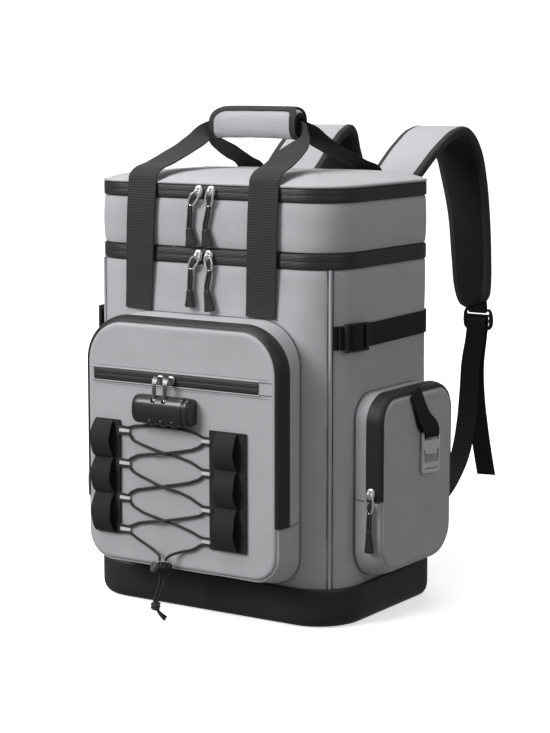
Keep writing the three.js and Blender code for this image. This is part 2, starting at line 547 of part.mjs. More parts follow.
// The pull: a wire frame whose top bar turns under the bridge, and a doubled
// cord below it; then the moulded grip on the cord's end.
const PULL = { bar: 0.7, halfTop: 2.7, halfMid: 4.2, halfLow: 2.6, frame: 15, cordWide: 4.4, cordDeep: 2.6, pivot: 1.2, rise: 0.6 };
function pullFrame(cordLong) {
  const r = PULL.bar;
  const wire = (points) => solidOf(cord(points.map(([x, z]) => V(x, 0, z)), r, 6));
  const loop = [[-PULL.halfTop, 0], [-PULL.halfMid, -7], [-PULL.halfLow, -PULL.frame], [PULL.halfLow, -PULL.frame],
    [PULL.halfMid, -7], [PULL.halfTop, 0]];
  let solid = wire([[-PULL.halfTop - r, 0], [PULL.halfTop + r, 0]]);
  solid = solid.add(wire(loop.slice(0, 3).map(([x, z], i) => [x, z + (i === 0 ? 0.4 : 0) - (i === 2 ? 0.6 : 0)])));
  solid = solid.add(wire(loop.slice(3).map(([x, z], i) => [x, z + (i === 2 ? 0.4 : 0) - (i === 0 ? 0.6 : 0)])));
  solid = solid.add(solidOf(box(-PULL.halfLow - 0.6, PULL.halfLow + 0.6, -1.3, 1.3, -PULL.frame - 2.2, -PULL.frame + 0.6)));
  solid = solid.add(solidOf(box(-PULL.cordWide / 2, PULL.cordWide / 2, -PULL.cordDeep / 2, PULL.cordDeep / 2,
    -PULL.frame - cordLong, -PULL.frame - 1)));
  return meshGeometry(solid);
}
const GRIP_ROWS = [ // share of the grip's length, width, depth
  { t: 0, w: 6.6, d: 3.8 }, { t: 0.12, w: 8, d: 4.6 }, { t: 0.8, w: 12.6, d: 5 }, { t: 0.95, w: 12.8, d: 4.6 }, { t: 1, w: 11, d: 3.4 },
];
function pullGrip(cordLong, long) {
  const top = -PULL.frame - cordLong - GAP;
  return skin(GRIP_ROWS.map(({ t, w, d }) => [[-w / 2, -d / 4], [-w / 4, -d / 2], [w / 4, -d / 2], [w / 2, -d / 4],
    [w / 2, d / 4], [w / 4, d / 2], [-w / 4, d / 2], [-w / 2, d / 4]].map(([x, y]) => V(x, y, top - t * long))));
}
const tapeY = FRONT_Y - BAND.proud; // face of the two zip bands
const sideGussetY = SIDE_ROWS[3].u0 - GAP - 0.08 - ZIP_TAPE;
const PULLS = [ // slider place, sideways lean of the pull in degrees
  { name: 'lid_left', x: -7.5, y: tapeY, z: 447, lean: -10.5, cord: 22, grip: 18.5 },
  { name: 'lid_right', x: 8.2, y: tapeY, z: 447, lean: -3, cord: 22, grip: 19 },
  { name: 'main_left', x: -8.5, y: tapeY, z: 380.2, lean: -9.5, cord: 22, grip: 19 },
  { name: 'main_right', x: 5.0, y: tapeY, z: 380.2, lean: 3.3, cord: 22, grip: 21 },
  { name: 'side', x: 181.5, y: sideGussetY, z: 142, lean: 0, cord: 18, grip: 23 },
];
for (const row of PULLS) {
  const out = V(0, -1, 0);
  piece(`slider_${row.name}`, placed(sliderBody(), V(row.x, row.y - GAP, row.z), out), METAL, 0.25, 0.9);
  const pivot = V(row.x, row.y - GAP - SLIDER.body - PULL.pivot, row.z + PULL.rise);
  const lean = new THREE.Matrix4().makeRotationY(THREE.MathUtils.degToRad(-row.lean));
  const g1 = pullFrame(row.cord), g2 = pullGrip(row.cord, row.grip);
  // The top bar stays on the pivot's axis; the lean turns the rest with it.
  for (const [kind, g] of [['pull', g1], ['pull_grip', g2]]) {
    g.applyMatrix4(lean).translate(pivot.x, pivot.y, pivot.z);
    piece(`${kind}_${row.name}`, fixed(g), kind === 'pull' ? METAL : BLACK, 0.4, kind === 'pull' ? 0.9 : 0);
  }
}
// Slider on the pocket's left gusset, with its plain tab hanging on it.
{
  const at = V(FRONT_ROWS[3].u0 - 2 * GAP - 0.08 - ZIP_TAPE, FRONT_Y - 36, 139);
  const tab = box(-3, 3, SLIDER.body + 1.0, SLIDER.body + 2.2, -22, 1.2);
  const body = joined(sliderBody(), tab, box(-3, 3, SLIDER.body - 0.3, SLIDER.body + 2.2, 0.2, 1.2));
  piece('slider_front_pocket', placed(body, at, V(-1, 0, 0)), METAL, 0.25, 0.9);
}
// Sliders of the face zip: their flat tabs curve out and down into the lock.
const TAB_ROWS = [ // d out from the zip, z
  { d: 2.0, z: 255.5 }, { d: 5.6, z: 257.6 }, { d: 9.2, z: 256.8 }, { d: 11.6, z: 252.5 },
  { d: 12.4, z: 246.5 }, { d: 12.4, z: 240 }, { d: 12.3, z: 232.5 },
];
TAB.xs.forEach((x, i) => {
  const tab = strip(TAB_ROWS.map(({ d, z }) => ({ x, y: faceOut(d + GAP), z, w: TAB.wide })), { thick: TAB.thick });
  const w = SLIDER.wide / 2;
  const body = box(x - w, x + w, faceOut(GAP * 2 + ZIP_TAPE + 3.4), faceOut(GAP * 2 + ZIP_TAPE), 249.2, 260);
  piece(`slider_face_${i + 1}`, joined(body, tab), METAL, 0.25, 0.9);
});

// --------------------------------------------------------- gear loop panels
// A webbing base with a narrower strip sewn on it at four lines, which
// bulges into three loops open to both sides.
const LOOPS = { base: 2.0, web: 1.5, crest: 9.2 };
const PORTS_LEFT = [196.7, 161.9, 124.7, 90.7];
const PORTS_RIGHT = [195.2, 161.7, 123.0, 90.0];
const PORT = { half: 3.4, deep: 5.4 };
const PANELS = [
  { name: 'left', x0: -107.6, x1: -75.5, s0: -107.6, s1: -82.6, z0: 85, z1: 207, necks: [206, 165.6, 127.6, 86], ports: PORTS_LEFT, mouth: -75.5, inward: -1 },
  { name: 'right', x0: 38.5, x1: 84.5, s0: 49, s1: 75, z0: 83, z1: 207, necks: [206, 167.8, 128.4, 84], ports: PORTS_RIGHT, mouth: 38.5, inward: 1 },
];
function loopProfile(za, zb, out) { // half-wave from za up to zb
  const rows = [];
  const n = 8;
  for (let i = 0; i <= n; i++) {
    const t = i / n, z = lerp(za, zb, t);
    rows.push([out * Math.sin(Math.PI * t) ** 0.8, z]);
  }
  return rows;
}
for (const p of PANELS) {
  let solid = solidOf(box(p.x0, p.x1, faceOut(GAP + LOOPS.base), faceOut(GAP), p.z0, p.z1));
  for (let k = 0; k < 3; k++) {
    const zb = p.necks[k], za = p.necks[k + 1];
    const outer = loopProfile(za, zb, LOOPS.crest);
    const inner = loopProfile(za + 2.6, zb - 2.6, LOOPS.crest - LOOPS.web);
    const ring = (x) => [
      ...outer.map(([d, z]) => V(x, faceOut(GAP + LOOPS.base - 0.2 + d), z)),
      ...inner.slice().reverse().map(([d, z]) => V(x, faceOut(GAP + LOOPS.base - 0.2 + d), z)),
    ];
    // Crescent between the two waves, closed at the necks.
    solid = solid.add(solidOf(prism(ring(p.s0), ring(p.s1))));
  }
  for (const z of p.ports) {
    const [a, b] = p.inward < 0 ? [p.mouth - PORT.deep, p.mouth + 1] : [p.mouth - 1, p.mouth + PORT.deep];
    solid = solid.subtract(solidOf(box(a, b, faceOut(8), faceOut(0), z - PORT.half - CORD.radius - 0.4, z + PORT.half + CORD.radius + 0.4)));
  }
  piece(`gear_loops_${p.name}`, meshGeometry(solid), BLACK, 0.75);
}
// Prism between two matching polygons; the end faces are triangulated, so
// the polygon may be bent like a crescent.
function prism(a, b) {
  if (THREE.ShapeUtils.area(a.map((q) => new THREE.Vector2(q.y, q.z))) < 0) { a = a.slice().reverse(); b = b.slice().reverse(); }
  const flat = a.map((q) => new THREE.Vector2(q.y, q.z));
  const positions = [...a, ...b].flatMap((q) => [q.x, q.y, q.z]);
  const n = a.length, indices = [];
  for (const [i, j, k] of THREE.ShapeUtils.triangulateShape(flat, [])) {
    const turn = THREE.ShapeUtils.area([flat[i], flat[j], flat[k]]);
    const [p, q, r] = turn > 0 ? [i, j, k] : [i, k, j];
    indices.push(p, r, q, n + p, n + q, n + r);
  }
  for (let i = 0; i < n; i++) {
    const j = (i + 1) % n;
    indices.push(i, j, n + j, i, n + j, n + i);
  }
  return geometryOf(positions, indices);
}

// ------------------------------------------------------------ laced cord
// One elastic cord: from the cord lock up through the ports of both panels
// and back down, every row crossing the one before it.
const onFaceCord = faceOut(GAP + CORD.radius);
const TIP_LEFT = -61, TIP_RIGHT = 27; // where the strands spread
const LIFT = 3.5;
function uTurn(side, z, fromTop) {
  const mouth = side < 0 ? PANELS[0].mouth : PANELS[1].mouth;
  const tip = side < 0 ? TIP_LEFT : TIP_RIGHT;
  const h = PORT.half - 0.1, cx = mouth + side * (PORT.deep - 0.5 - h - CORD.radius);
  const rows = [V(tip, onFaceCord, z + h)];
  for (let i = 0; i <= 6; i++) {
    const a = Math.PI / 2 - Math.PI * i / 6;
    rows.push(V(cx + side * h * Math.cos(a), onFaceCord, z + h * Math.sin(a)));
  }
  rows.push(V(tip, onFaceCord, z - h));
  return fromTop ? rows : rows.reverse();
}
function crossing(a, b, over) { // points strictly between a and b
  const out = [];
  const n = over ? 10 : 2;
  const mid = lerp(a.x, b.x, 0.5);
  for (let i = 1; i < n; i++) {
    const t = over ? 0.24 + 0.52 * (i - 1) / (n - 2) : i / n;
    const x = lerp(a.x, b.x, t);
    const lift = over ? LIFT * Math.exp(-(((x - mid) / 9.5) ** 2)) : 0;
    out.push(V(x, onFaceCord - lift, lerp(a.z, b.z, t)));
  }
  return out;
}
const AXIS = V(-0.48, -0.85, 0.21).normalize(); // cord lock, towards its button
const STOP = { centre: V(-11.5, -164.4, 58.2), radius: 6.2, long: 14, bore: 4.3, gap: 3.6 };
const LEFT_IN = V(-16.2, STOP.centre.y - 1.6, STOP.centre.z + 7.2);
const RIGHT_IN = V(-10.6, STOP.centre.y + 0.6, STOP.centre.z + 7.2);
{
  const route = [];
  const h = PORT.half - 0.1;
  // Left end: lock, left port 4, right 3, left 2, right 1.
  route.push(
    LEFT_IN.clone().add(V(0, 0, 0.4)), LEFT_IN.clone().add(V(-1.2, 1.6, 3.4)), V(-25, -158.5, 72.6), V(-38, -154.6, 77.2), V(-52, onFaceCord, 82.0),
  );
  const L = PORTS_LEFT, R = PORTS_RIGHT;
  const chain = [[-1, 3], [1, 2], [-1, 1], [1, 0]];
  let prev = null;
  for (const [side, k] of chain) {
    const rows = uTurn(side, side < 0 ? L[k] : R[k], false);
    if (prev) route.push(...crossing(prev, rows[0], true));
    route.push(...rows);
    prev = rows[rows.length - 1];
  }
  // Across the top, bowed up a little.
  const topRows = [[0.04, 1.6], [0.12, 3.0], [0.4, 4.4], [0.7, 3.9], [0.9, 2.2]];
  const next = uTurn(-1, L[0], true);
  for (const [t, up] of topRows) route.push(V(lerp(prev.x, next[0].x, t), onFaceCord, lerp(prev.z, next[0].z, t) + up));
  prev = null;
  for (const [side, k] of [[-1, 0], [1, 1], [-1, 2], [1, 3]]) {
    const rows = uTurn(side, side < 0 ? L[k] : R[k], true);
    if (prev) route.push(...crossing(prev, rows[0], false));
    route.push(...rows);
    prev = rows[rows.length - 1];
  }
  route.push(V(16.4, onFaceCord, 79.4), V(0, -155.4, 74.8), V(-7.4, -160, 71.4), RIGHT_IN.clone().add(V(1.0, 0.8, 3.0)), RIGHT_IN.clone().add(V(0, 0, 0.4)));
  piece('bungee_cord', cord(route), BLACK, 0.8);
}

// Cord lock: barrel and spring button on one slanting axis.
const alongAxis = new THREE.Quaternion().setFromUnitVectors(V(0, 1, 0), AXIS);
const barrelPart = (r, from, to, sides = 16) => {
  const g = new THREE.CylinderGeometry(r, r, to - from, sides);
  g.translate(0, (from + to) / 2, 0).applyQuaternion(alongAxis).translate(STOP.centre.x, STOP.centre.y, STOP.centre.z);
  return g;
};
piece('cord_lock_barrel', cut(barrelPart(STOP.radius, -STOP.long / 2, STOP.long / 2), barrelPart(STOP.bore, -1, STOP.long / 2 + 1)), BLACK, 0.4);
piece('cord_lock_button', joined(
  barrelPart(STOP.radius - 0.4, STOP.long / 2 + STOP.gap, STOP.long / 2 + STOP.gap + 3.4),
  barrelPart(STOP.bore - 0.5, 2.8, STOP.long / 2 + STOP.gap + 1),
), BLACK, 0.4);

// Free ends below the lock, tied in one knot.
const TAIL = {
  left: [[-15.2, -166.0, 50.2], [-15.6, -166.2, 45], [-17.6, -166.6, 36], [-20.6, -166.8, 28], [-22.8, -166.8, 22.6]],
  right: [[-10.6, -164.6, 50.2], [-11.0, -164.8, 45], [-13.6, -165.2, 36], [-17.0, -165.8, 28], [-19.3, -166.2, 22.6]],
};
const KNOT = { at: V(-21.4, -166.6, 16.8), radius: 5.2 };
for (const name of ['left', 'right']) {
  piece(`cord_tail_${name}`, cord(TAIL[name].map(([x, y, z]) => V(x, y, z)), name === 'left' ? 1.5 : 1.5), BLACK, 0.8);
}
{
  const ball = new THREE.SphereGeometry(KNOT.radius, 12, 8);
  ball.scale(1, 0.82, 0.92).translate(KNOT.at.x, KNOT.at.y, KNOT.at.z);
  const end1 = cord([V(-20.6, -166.8, 15.5), V(-17.8, -166.4, 10.6), V(-14.4, -165.4, 6), V(-11.6, -163.6, 2.3)]);
  const end2 = cord([V(-22, -165.6, 15.5), V(-21.2, -162.6, 10.6), V(-19.2, -158.4, 6), V(-16.8, -154.4, 2.3)]);
  piece('cord_knot', joined(ball, end1, end2), BLACK, 0.8);
}

// ----------------------------------------------------------- bottle opener
// A steel plate hanging on a webbing loop sewn under the side pocket's zip.
const OPENER = { y: 23.5, z: 174, x: 199.2, wide: 27, tall: 45, thick: 2.2, turn: 14 };
{
  const a = THREE.MathUtils.degToRad(OPENER.turn);
  const t = V(Math.sin(a), Math.cos(a), 0), n = V(Math.cos(a), -Math.sin(a), 0);
  const c = V(OPENER.x, OPENER.y, OPENER.z);
  // Window with a tooth standing in its lower edge.
  const mouth = [[-8.8, -7], [-8.8, 7], [-7.3, 8.5], [7.3, 8.5], [8.8, 7], [8.8, -7], [5.6, -8.6], [3.2, -2.6], [-3.2, -2.6], [-5.6, -8.6]];
  const g = cut(
    plate(bevelled(OPENER.wide, OPENER.tall, 3), OPENER.thick),
    box(-9, 9, -10.8, 10.8, 12.6, 18.4),
    prism(...[-9, 9].map((x) => mouth.map(([y, z]) => V(x, y, z)))),
  );
  g.applyMatrix4(new THREE.Matrix4().makeBasis(n, t, V(0, 0, 1)).setPosition(c));
  piece('bottle_opener', fixed(g), METAL, 0.3, 0.9);

  const bar = OPENER.z + 20.4; // middle height of the opener's top bar
  const by = (o, k) => ({ x: c.x + n.x * o + t.x * k, y: c.y + n.y * o + t.y * k });
  const rows = [ // place by x, y or by distance out of the plate and along it
    { x: SIDE_FACE_X + 1.9, y: 0, z: 236, turn: 0 },
    { x: SIDE_FACE_X + 2.1, y: 5.6, z: 224, turn: 0.2 },
    { ...by(-2.5, -2.6), z: bar + 10, turn: 0.9 },
    { ...by(-2.4, -0.3), z: bar + 3, turn: 1 },
    { ...by(-2.35, 0), z: bar - 1, turn: 1 },
    { ...by(-2.1, 0), z: bar - 3.2, turn: 1 },
    { ...by(-1.2, 0), z: bar - 4.7, turn: 1 },
    { ...by(0, 0), z: bar - 5.1, turn: 1 },
    { ...by(1.2, 0), z: bar - 4.7, turn: 1 },
    { ...by(2.1, 0), z: bar - 3.2, turn: 1 },
    { ...by(2.35, 0), z: bar - 1, turn: 1 },
    { ...by(2.4, -0.3), z: bar + 3, turn: 1 },
    { ...by(2.5, -2.6), z: bar + 10, turn: 0.9 },
    { x: SIDE_FACE_X + 4.6, y: 6.0, z: 224, turn: 0.2 },
    { x: SIDE_FACE_X + 4.2, y: 0, z: 237.5, turn: 0 },
  ];
  const web = rows.map((r) => ({ ...r, w: 20, across: V(Math.sin(a * r.turn), Math.cos(a * r.turn), 0) }));
  piece('opener_strap', strip(web, { thick: 1.4 }), BLACK, 0.75);
}

export default model;
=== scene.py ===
import math

import bmesh
import bpy
import numpy as np
from mathutils import Matrix, Vector, noise


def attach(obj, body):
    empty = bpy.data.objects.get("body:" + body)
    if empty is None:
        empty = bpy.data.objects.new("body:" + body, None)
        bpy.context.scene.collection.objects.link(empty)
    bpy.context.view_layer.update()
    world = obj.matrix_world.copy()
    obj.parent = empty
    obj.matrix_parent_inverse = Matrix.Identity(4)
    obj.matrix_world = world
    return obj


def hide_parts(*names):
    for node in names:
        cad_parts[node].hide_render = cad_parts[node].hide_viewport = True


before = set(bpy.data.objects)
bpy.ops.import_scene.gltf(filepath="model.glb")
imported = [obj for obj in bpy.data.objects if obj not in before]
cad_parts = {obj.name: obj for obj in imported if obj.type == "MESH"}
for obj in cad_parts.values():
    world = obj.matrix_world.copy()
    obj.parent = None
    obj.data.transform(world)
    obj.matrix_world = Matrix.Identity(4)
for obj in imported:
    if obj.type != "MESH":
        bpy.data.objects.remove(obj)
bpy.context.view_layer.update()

# Lengths below are millimetres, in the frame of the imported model; meshes are
# written in metres.
MM = 0.001
WIDTH, DEPTH = 314.1, 203.4
SIDE_X, FRONT_Y, BACK_Y = WIDTH / 2, -DEPTH / 2, DEPTH / 2
R_FRONT, R_BACK = 48.0, 25.0
BOOT_TOP, MAIN_LOW, MAIN_HIGH, LID_LOW, LID_HIGH = 41.4, 371.4, 387.2, 439.0, 452.9
FACE_Y, SIDE_FACE_X = -152.0, 193.0
GAP = 0.3


# ------------------------------------------------------------ camera, light
def make_camera():
    data = bpy.data.cameras.new("camera")
    cam = bpy.data.objects.new("camera", data)
    bpy.context.scene.collection.objects.link(cam)
    cam.location = (1.2308, -1.8488, 0.5732)
    cam.rotation_euler = (math.radians(81.749), 0, math.radians(33.252))
    data.sensor_width, data.lens = 36.0, 101.06
    data.clip_start, data.clip_end = 0.05, 60
    bpy.context.scene.camera = cam


def area_light(name, at, to, size, watts, colour=(1, 1, 1), tall=None):
    data = bpy.data.lights.new(name, "AREA")
    data.shape = "RECTANGLE"
    data.size, data.size_y = size, tall or size
    data.energy, data.color = watts, colour
    ob = bpy.data.objects.new(name, data)
    ob.location = at
    ob.rotation_euler = (Vector(to) - Vector(at)).to_track_quat("-Z", "Y").to_euler()
    bpy.context.scene.collection.objects.link(ob)


make_camera()
scene = bpy.context.scene
scene.view_settings.view_transform = "Standard"
scene.view_settings.look = "None"
scene.view_settings.exposure = 0.0
world = bpy.data.worlds.new("studio")
scene.world = world
world.use_nodes = True
world.node_tree.nodes["Background"].inputs["Color"].default_value = (0.97, 0.975, 1.0, 1)
world.node_tree.nodes["Background"].inputs["Strength"].default_value = 0.21
area_light("key", (-1.3, -2.3, 1.9), (0.0, 0.0, 0.3), 1.5, 80)
area_light("top", (-0.3, -0.2, 2.6), (0.0, 0.0, 0.0), 2.0, 36)
area_light("side", (2.6, -0.9, 1.3), (0.0, 0.0, 0.25), 1.2, 9)
area_light("back", (-1.2, 2.2, 1.7), (0.0, 0.3, 0.2), 1.6, 10)


# ---------------------------------------------------------------- materials
class Shader:
    """A Principled material with small helpers for its nodes."""

    def __init__(self, name, colour, rough, metal=0.0, sheen=0.0, coat=0.0, spec=0.5):
        self.m = bpy.data.materials.new(name)
        self.m.use_nodes = True
        self.nt = self.m.node_tree
        self.b = self.nt.nodes["Principled BSDF"]
        self.b.inputs["Base Color"].default_value = (*colour, 1)
        self.b.inputs["Roughness"].default_value = rough
        self.b.inputs["Metallic"].default_value = metal
        self.b.inputs["Sheen Weight"].default_value = sheen
        self.b.inputs["Coat Weight"].default_value = coat
        self.b.inputs["Specular IOR Level"].default_value = spec
        self.heights = []
        self.m.diffuse_color = (*colour, 1)

    def put(self, socket, value):
        if isinstance(value, (int, float)):
            socket.default_value = value
        else:
            self.nt.links.new(value, socket)

    def math(self, op, a, b=None, clamp=False):
        n = self.nt.nodes.new("ShaderNodeMath")
        n.operation, n.use_clamp = op, clamp
        self.put(n.inputs[0], a)
        if b is not None:
            self.put(n.inputs[1], b)
        return n.outputs[0]

    def uv(self):
        n = self.nt.nodes.new("ShaderNodeUVMap")
        n.uv_map = "weave"
        s = self.nt.nodes.new("ShaderNodeSeparateXYZ")
        self.nt.links.new(n.outputs[0], s.inputs[0])
        return s.outputs[0], s.outputs[1]

    def noise(self, scale, detail=3.0, rough=0.55, stretch=None):
        c = self.nt.nodes.new("ShaderNodeTexCoord")
        n = self.nt.nodes.new("ShaderNodeTexNoise")
        n.inputs["Scale"].default_value = scale
        n.inputs["Detail"].default_value = detail
        n.inputs["Roughness"].default_value = rough
        if stretch:
            mp = self.nt.nodes.new("ShaderNodeMapping")
            mp.inputs["Scale"].default_value = stretch
            self.nt.links.new(c.outputs["Object"], mp.inputs[0])
            self.nt.links.new(mp.outputs[0], n.inputs["Vector"])
        else:
            self.nt.links.new(c.outputs["Object"], n.inputs["Vector"])
        return n.outputs[0]

    def wave(self, u, pitch, phase=0.0):
        a = self.math("MULTIPLY", u, 2 * math.pi / (pitch * MM))
        if phase:
            a = self.math("ADD", a, phase)
        return self.math("SINE", a)

    def ramp(self, fac, lo, hi, dark, light):
        n = self.nt.nodes.new("ShaderNodeValToRGB")
        n.color_ramp.elements[0].position, n.color_ramp.elements[1].position = lo, hi
        n.color_ramp.elements[0].color = (*dark, 1)
        n.color_ramp.elements[1].color = (*light, 1)
        self.nt.links.new(fac, n.inputs[0])
        return n.outputs[0]

    def colour(self, socket):
        self.nt.links.new(socket, self.b.inputs["Base Color"])

    def rough(self, fac, lo, hi):
        n = self.nt.nodes.new("ShaderNodeMapRange")
        n.inputs["To Min"].default_value, n.inputs["To Max"].default_value = lo, hi
        self.nt.links.new(fac, n.inputs[0])
        self.nt.links.new(n.outputs[0], self.b.inputs["Roughness"])

    def bump(self, height, distance, strength=1.0):
        self.heights.append((height, distance, strength))

    def done(self):
        last = None
        for height, distance, strength in self.heights:
            n = self.nt.nodes.new("ShaderNodeBump")
            n.inputs["Strength"].default_value = strength
            n.inputs["Distance"].default_value = distance * MM
            self.nt.links.new(height, n.inputs["Height"])
            if last:
                self.nt.links.new(last, n.inputs["Normal"])
            last = n.outputs[0]
        if last:
            self.nt.links.new(last, self.b.inputs["Normal"])
        return self.m


def shade(c, k):
    return tuple(min(1.0, x * k) for x in c)


def woven(name, colour, pitch=0.9, rough=0.82, sheen=0.25, depth=0.12, mottle_and_weave_shade=0.06, spec=0.35):
    """Plain weave of round yarns, a little uneven, with a faint worn mottling and painted shade in the crevices between
    the yarns.
    """
    s = Shader(name, colour, rough, sheen=sheen, spec=spec)
    s.b.inputs["Sheen Roughness"].default_value = 0.5
    u, v = s.uv()
    cell = s.math("MULTIPLY", s.wave(u, pitch * 2), s.wave(v, pitch * 2))
    fine = s.noise(2600, 2)
    big = s.noise(16, 4)
    # The weave's relief (cell) goes into the colour as well as the bump: painted shade in its crevices.
    mix = s.math("ADD", s.math("MULTIPLY", cell, 0.16), s.math("MULTIPLY", s.math("SUBTRACT", fine, 0.5), 0.8))
    mix = s.math("ADD", mix, s.math("MULTIPLY", s.math("SUBTRACT", big, 0.5), 2.2))
    mix = s.math("ADD", s.math("MULTIPLY", mix, 0.5), 0.5, clamp=True)
    s.colour(s.ramp(mix, 0.0, 1.0, shade(colour, 1 - 2 * mottle_and_weave_shade), shade(colour, 1 + 2 * mottle_and_weave_shade)))
    s.rough(big, rough - 0.08, rough + 0.08)
    s.bump(s.noise(42, 3), 0.9, 0.5)
    s.bump(cell, depth, 0.8)
    return s.done()


def ribbed(name, colour, rib=2.7, twill=1.7, rough=0.7, sheen=0.05, depth=0.18, tone_and_rib_shade=0.13, spec=0.25):
    """Narrow webbing: cross ribs with a diagonal twill over them, and painted shade in the grooves of both."""
    s = Shader(name, colour, rough, sheen=sheen, spec=spec)
    s.b.inputs["Sheen Roughness"].default_value = 0.45
    u, v = s.uv()
    ribs = s.wave(v, rib)
    slant = s.math("ADD", s.math("MULTIPLY", u, 0.55), v)
    diag = s.wave(slant, twill)
    fine = s.noise(1900, 2)
    big = s.noise(22, 3)
    # Ribs and twill go into the colour as well as the bumps: painted shade in their grooves; the noise is random tone.
    mix = s.math("ADD", s.math("MULTIPLY", ribs, 0.34), s.math("MULTIPLY", diag, 0.2))
    mix = s.math("ADD", mix, s.math("MULTIPLY", s.math("SUBTRACT", fine, 0.5), 0.7))
    mix = s.math("ADD", mix, s.math("MULTIPLY", s.math("SUBTRACT", big, 0.5), 0.9))
    mix = s.math("ADD", s.math("MULTIPLY", mix, 0.5), 0.5, clamp=True)
    s.colour(s.ramp(mix, 0.0, 1.0, shade(colour, 1 - 2.4 * tone_and_rib_shade), shade(colour, 1 + 3.2 * tone_and_rib_shade)))
    s.rough(fine, rough - 0.1, rough + 0.12)
    s.bump(ribs, depth, 0.7)
    s.bump(diag, depth * 0.6, 0.7)
    return s.done()


def tape(name, colour, line=1.5, rough=0.42, axis="v"):
    """Coated zip tape: smooth, with fine lines along its run and painted shade in their grooves."""
    s = Shader(name, colour, rough, spec=0.4)
    u, v = s.uv()
    lines = s.wave(v if axis == "v" else u, line)
    teeth = s.wave(u if axis == "v" else v, 1.9)
    fine, big = s.noise(900, 2), s.noise(18, 3)
    # The lines go into the colour as well as the bump: painted shade in their grooves.
    mix = s.math("ADD", s.math("MULTIPLY", lines, 0.2), s.math("MULTIPLY", s.math("SUBTRACT", fine, 0.5), 0.5))
    mix = s.math("ADD", mix, s.math("MULTIPLY", s.math("SUBTRACT", big, 0.5), 1.1))
    mix = s.math("ADD", s.math("MULTIPLY", mix, 0.5), 0.5, clamp=True)
    s.colour(s.ramp(mix, 0.0, 1.0, shade(colour, 0.8), shade(colour, 1.25)))
    s.rough(big, rough - 0.08, rough + 0.12)
    s.bump(lines, 0.1, 0.6)
    s.bump(teeth, 0.03, 0.5)
    return s.done()


def knit(name, colour):
    """Open spacer mesh: small round holes in rows, with painted shade inside the holes."""
    s = Shader(name, colour, 0.88, sheen=0.2, spec=0.25)
    u, v = s.uv()
    a = s.math("MULTIPLY", s.wave(u, 3.2), s.wave(v, 3.2))
    holes = s.math("POWER", s.math("ABSOLUTE", a), 0.6)
    fine = s.noise(1500, 2)
    # The holes go into the colour, darker inside: painted shade in the holes.
    mix = s.math("ADD", s.math("MULTIPLY", holes, 0.8), s.math("MULTIPLY", fine, 0.3), clamp=True)
    s.colour(s.ramp(mix, 0.1, 0.9, shade(colour, 1.5), shade(colour, 0.4)))
    s.bump(s.math("MULTIPLY", holes, -1.0), 0.5, 0.9)
    return s.done()


def moulded(name, colour, rough=0.42, grain=1400, depth=0.06, wear=0.35, coat=0.0, spec=0.5):
    """Moulded plastic or rubber: fine grain, rubbed a little paler on its edges."""
    s = Shader(name, colour, rough, coat=coat, spec=spec)
    g = s.nt.nodes.new("ShaderNodeNewGeometry")
    edge = s.nt.nodes.new("ShaderNodeMapRange")
    edge.inputs["From Min"].default_value, edge.inputs["From Max"].default_value = 0.52, 0.62
    s.nt.links.new(g.outputs["Pointiness"], edge.inputs[0])
    fine, big = s.noise(grain, 3), s.noise(30, 4)
    mix = s.math("MULTIPLY", edge.outputs[0], big)
    mix = s.math("ADD", mix, s.math("MULTIPLY", s.math("SUBTRACT", fine, 0.5), 0.25), clamp=True)
    s.colour(s.ramp(mix, 0.0, 1.0, colour, shade(colour, 1 + 2.2 * wear)))
    s.rough(s.math("ADD", s.math("MULTIPLY", big, 0.8), s.math("MULTIPLY", fine, 0.2)), rough - 0.1, rough + 0.14)
    s.bump(fine, depth, 0.6)
    return s.done()


def plated(name, colour, rough=0.14, brushed=False):
    s = Shader(name, colour, rough, metal=1.0)
    big = s.noise(60, 4)
    if brushed:
        lines = s.noise(700, 2, stretch=(1.0, 1.0, 0.03))
        s.colour(s.ramp(lines, 0.2, 0.8, shade(colour, 0.86), shade(colour, 1.1)))
        s.rough(lines, rough - 0.06, rough + 0.12)
        s.bump(lines, 0.03, 0.5)
    else:
        s.colour(s.ramp(big, 0.2, 0.8, shade(colour, 0.93), shade(colour, 1.05)))
        s.rough(big, rough - 0.05, rough + 0.1)
        s.bump(s.noise(240, 3), 0.03, 0.4)
    return s.done()


def braided(name, colour, pitch=1.5):
    s = Shader(name, colour, 0.72, sheen=0.2, spec=0.35)
    u, v = s.uv()
    a = s.wave(s.math("ADD", u, s.math("MULTIPLY", v, 0.8)), pitch)
    b = s.wave(s.math("SUBTRACT", u, s.math("MULTIPLY", v, 0.8)), pitch)
    h = s.math("MULTIPLY", a, b)
    fine = s.noise(1800, 2)
    # The braid's relief goes into the colour: painted shade where the strands dip.
    mix = s.math("ADD", s.math("MULTIPLY", h, 0.35), s.math("MULTIPLY", fine, 0.9), clamp=True)
    s.colour(s.ramp(mix, 0.1, 0.9, shade(colour, 0.65), shade(colour, 1.6)))
    s.bump(h, 0.14, 0.8)
    return s.done()


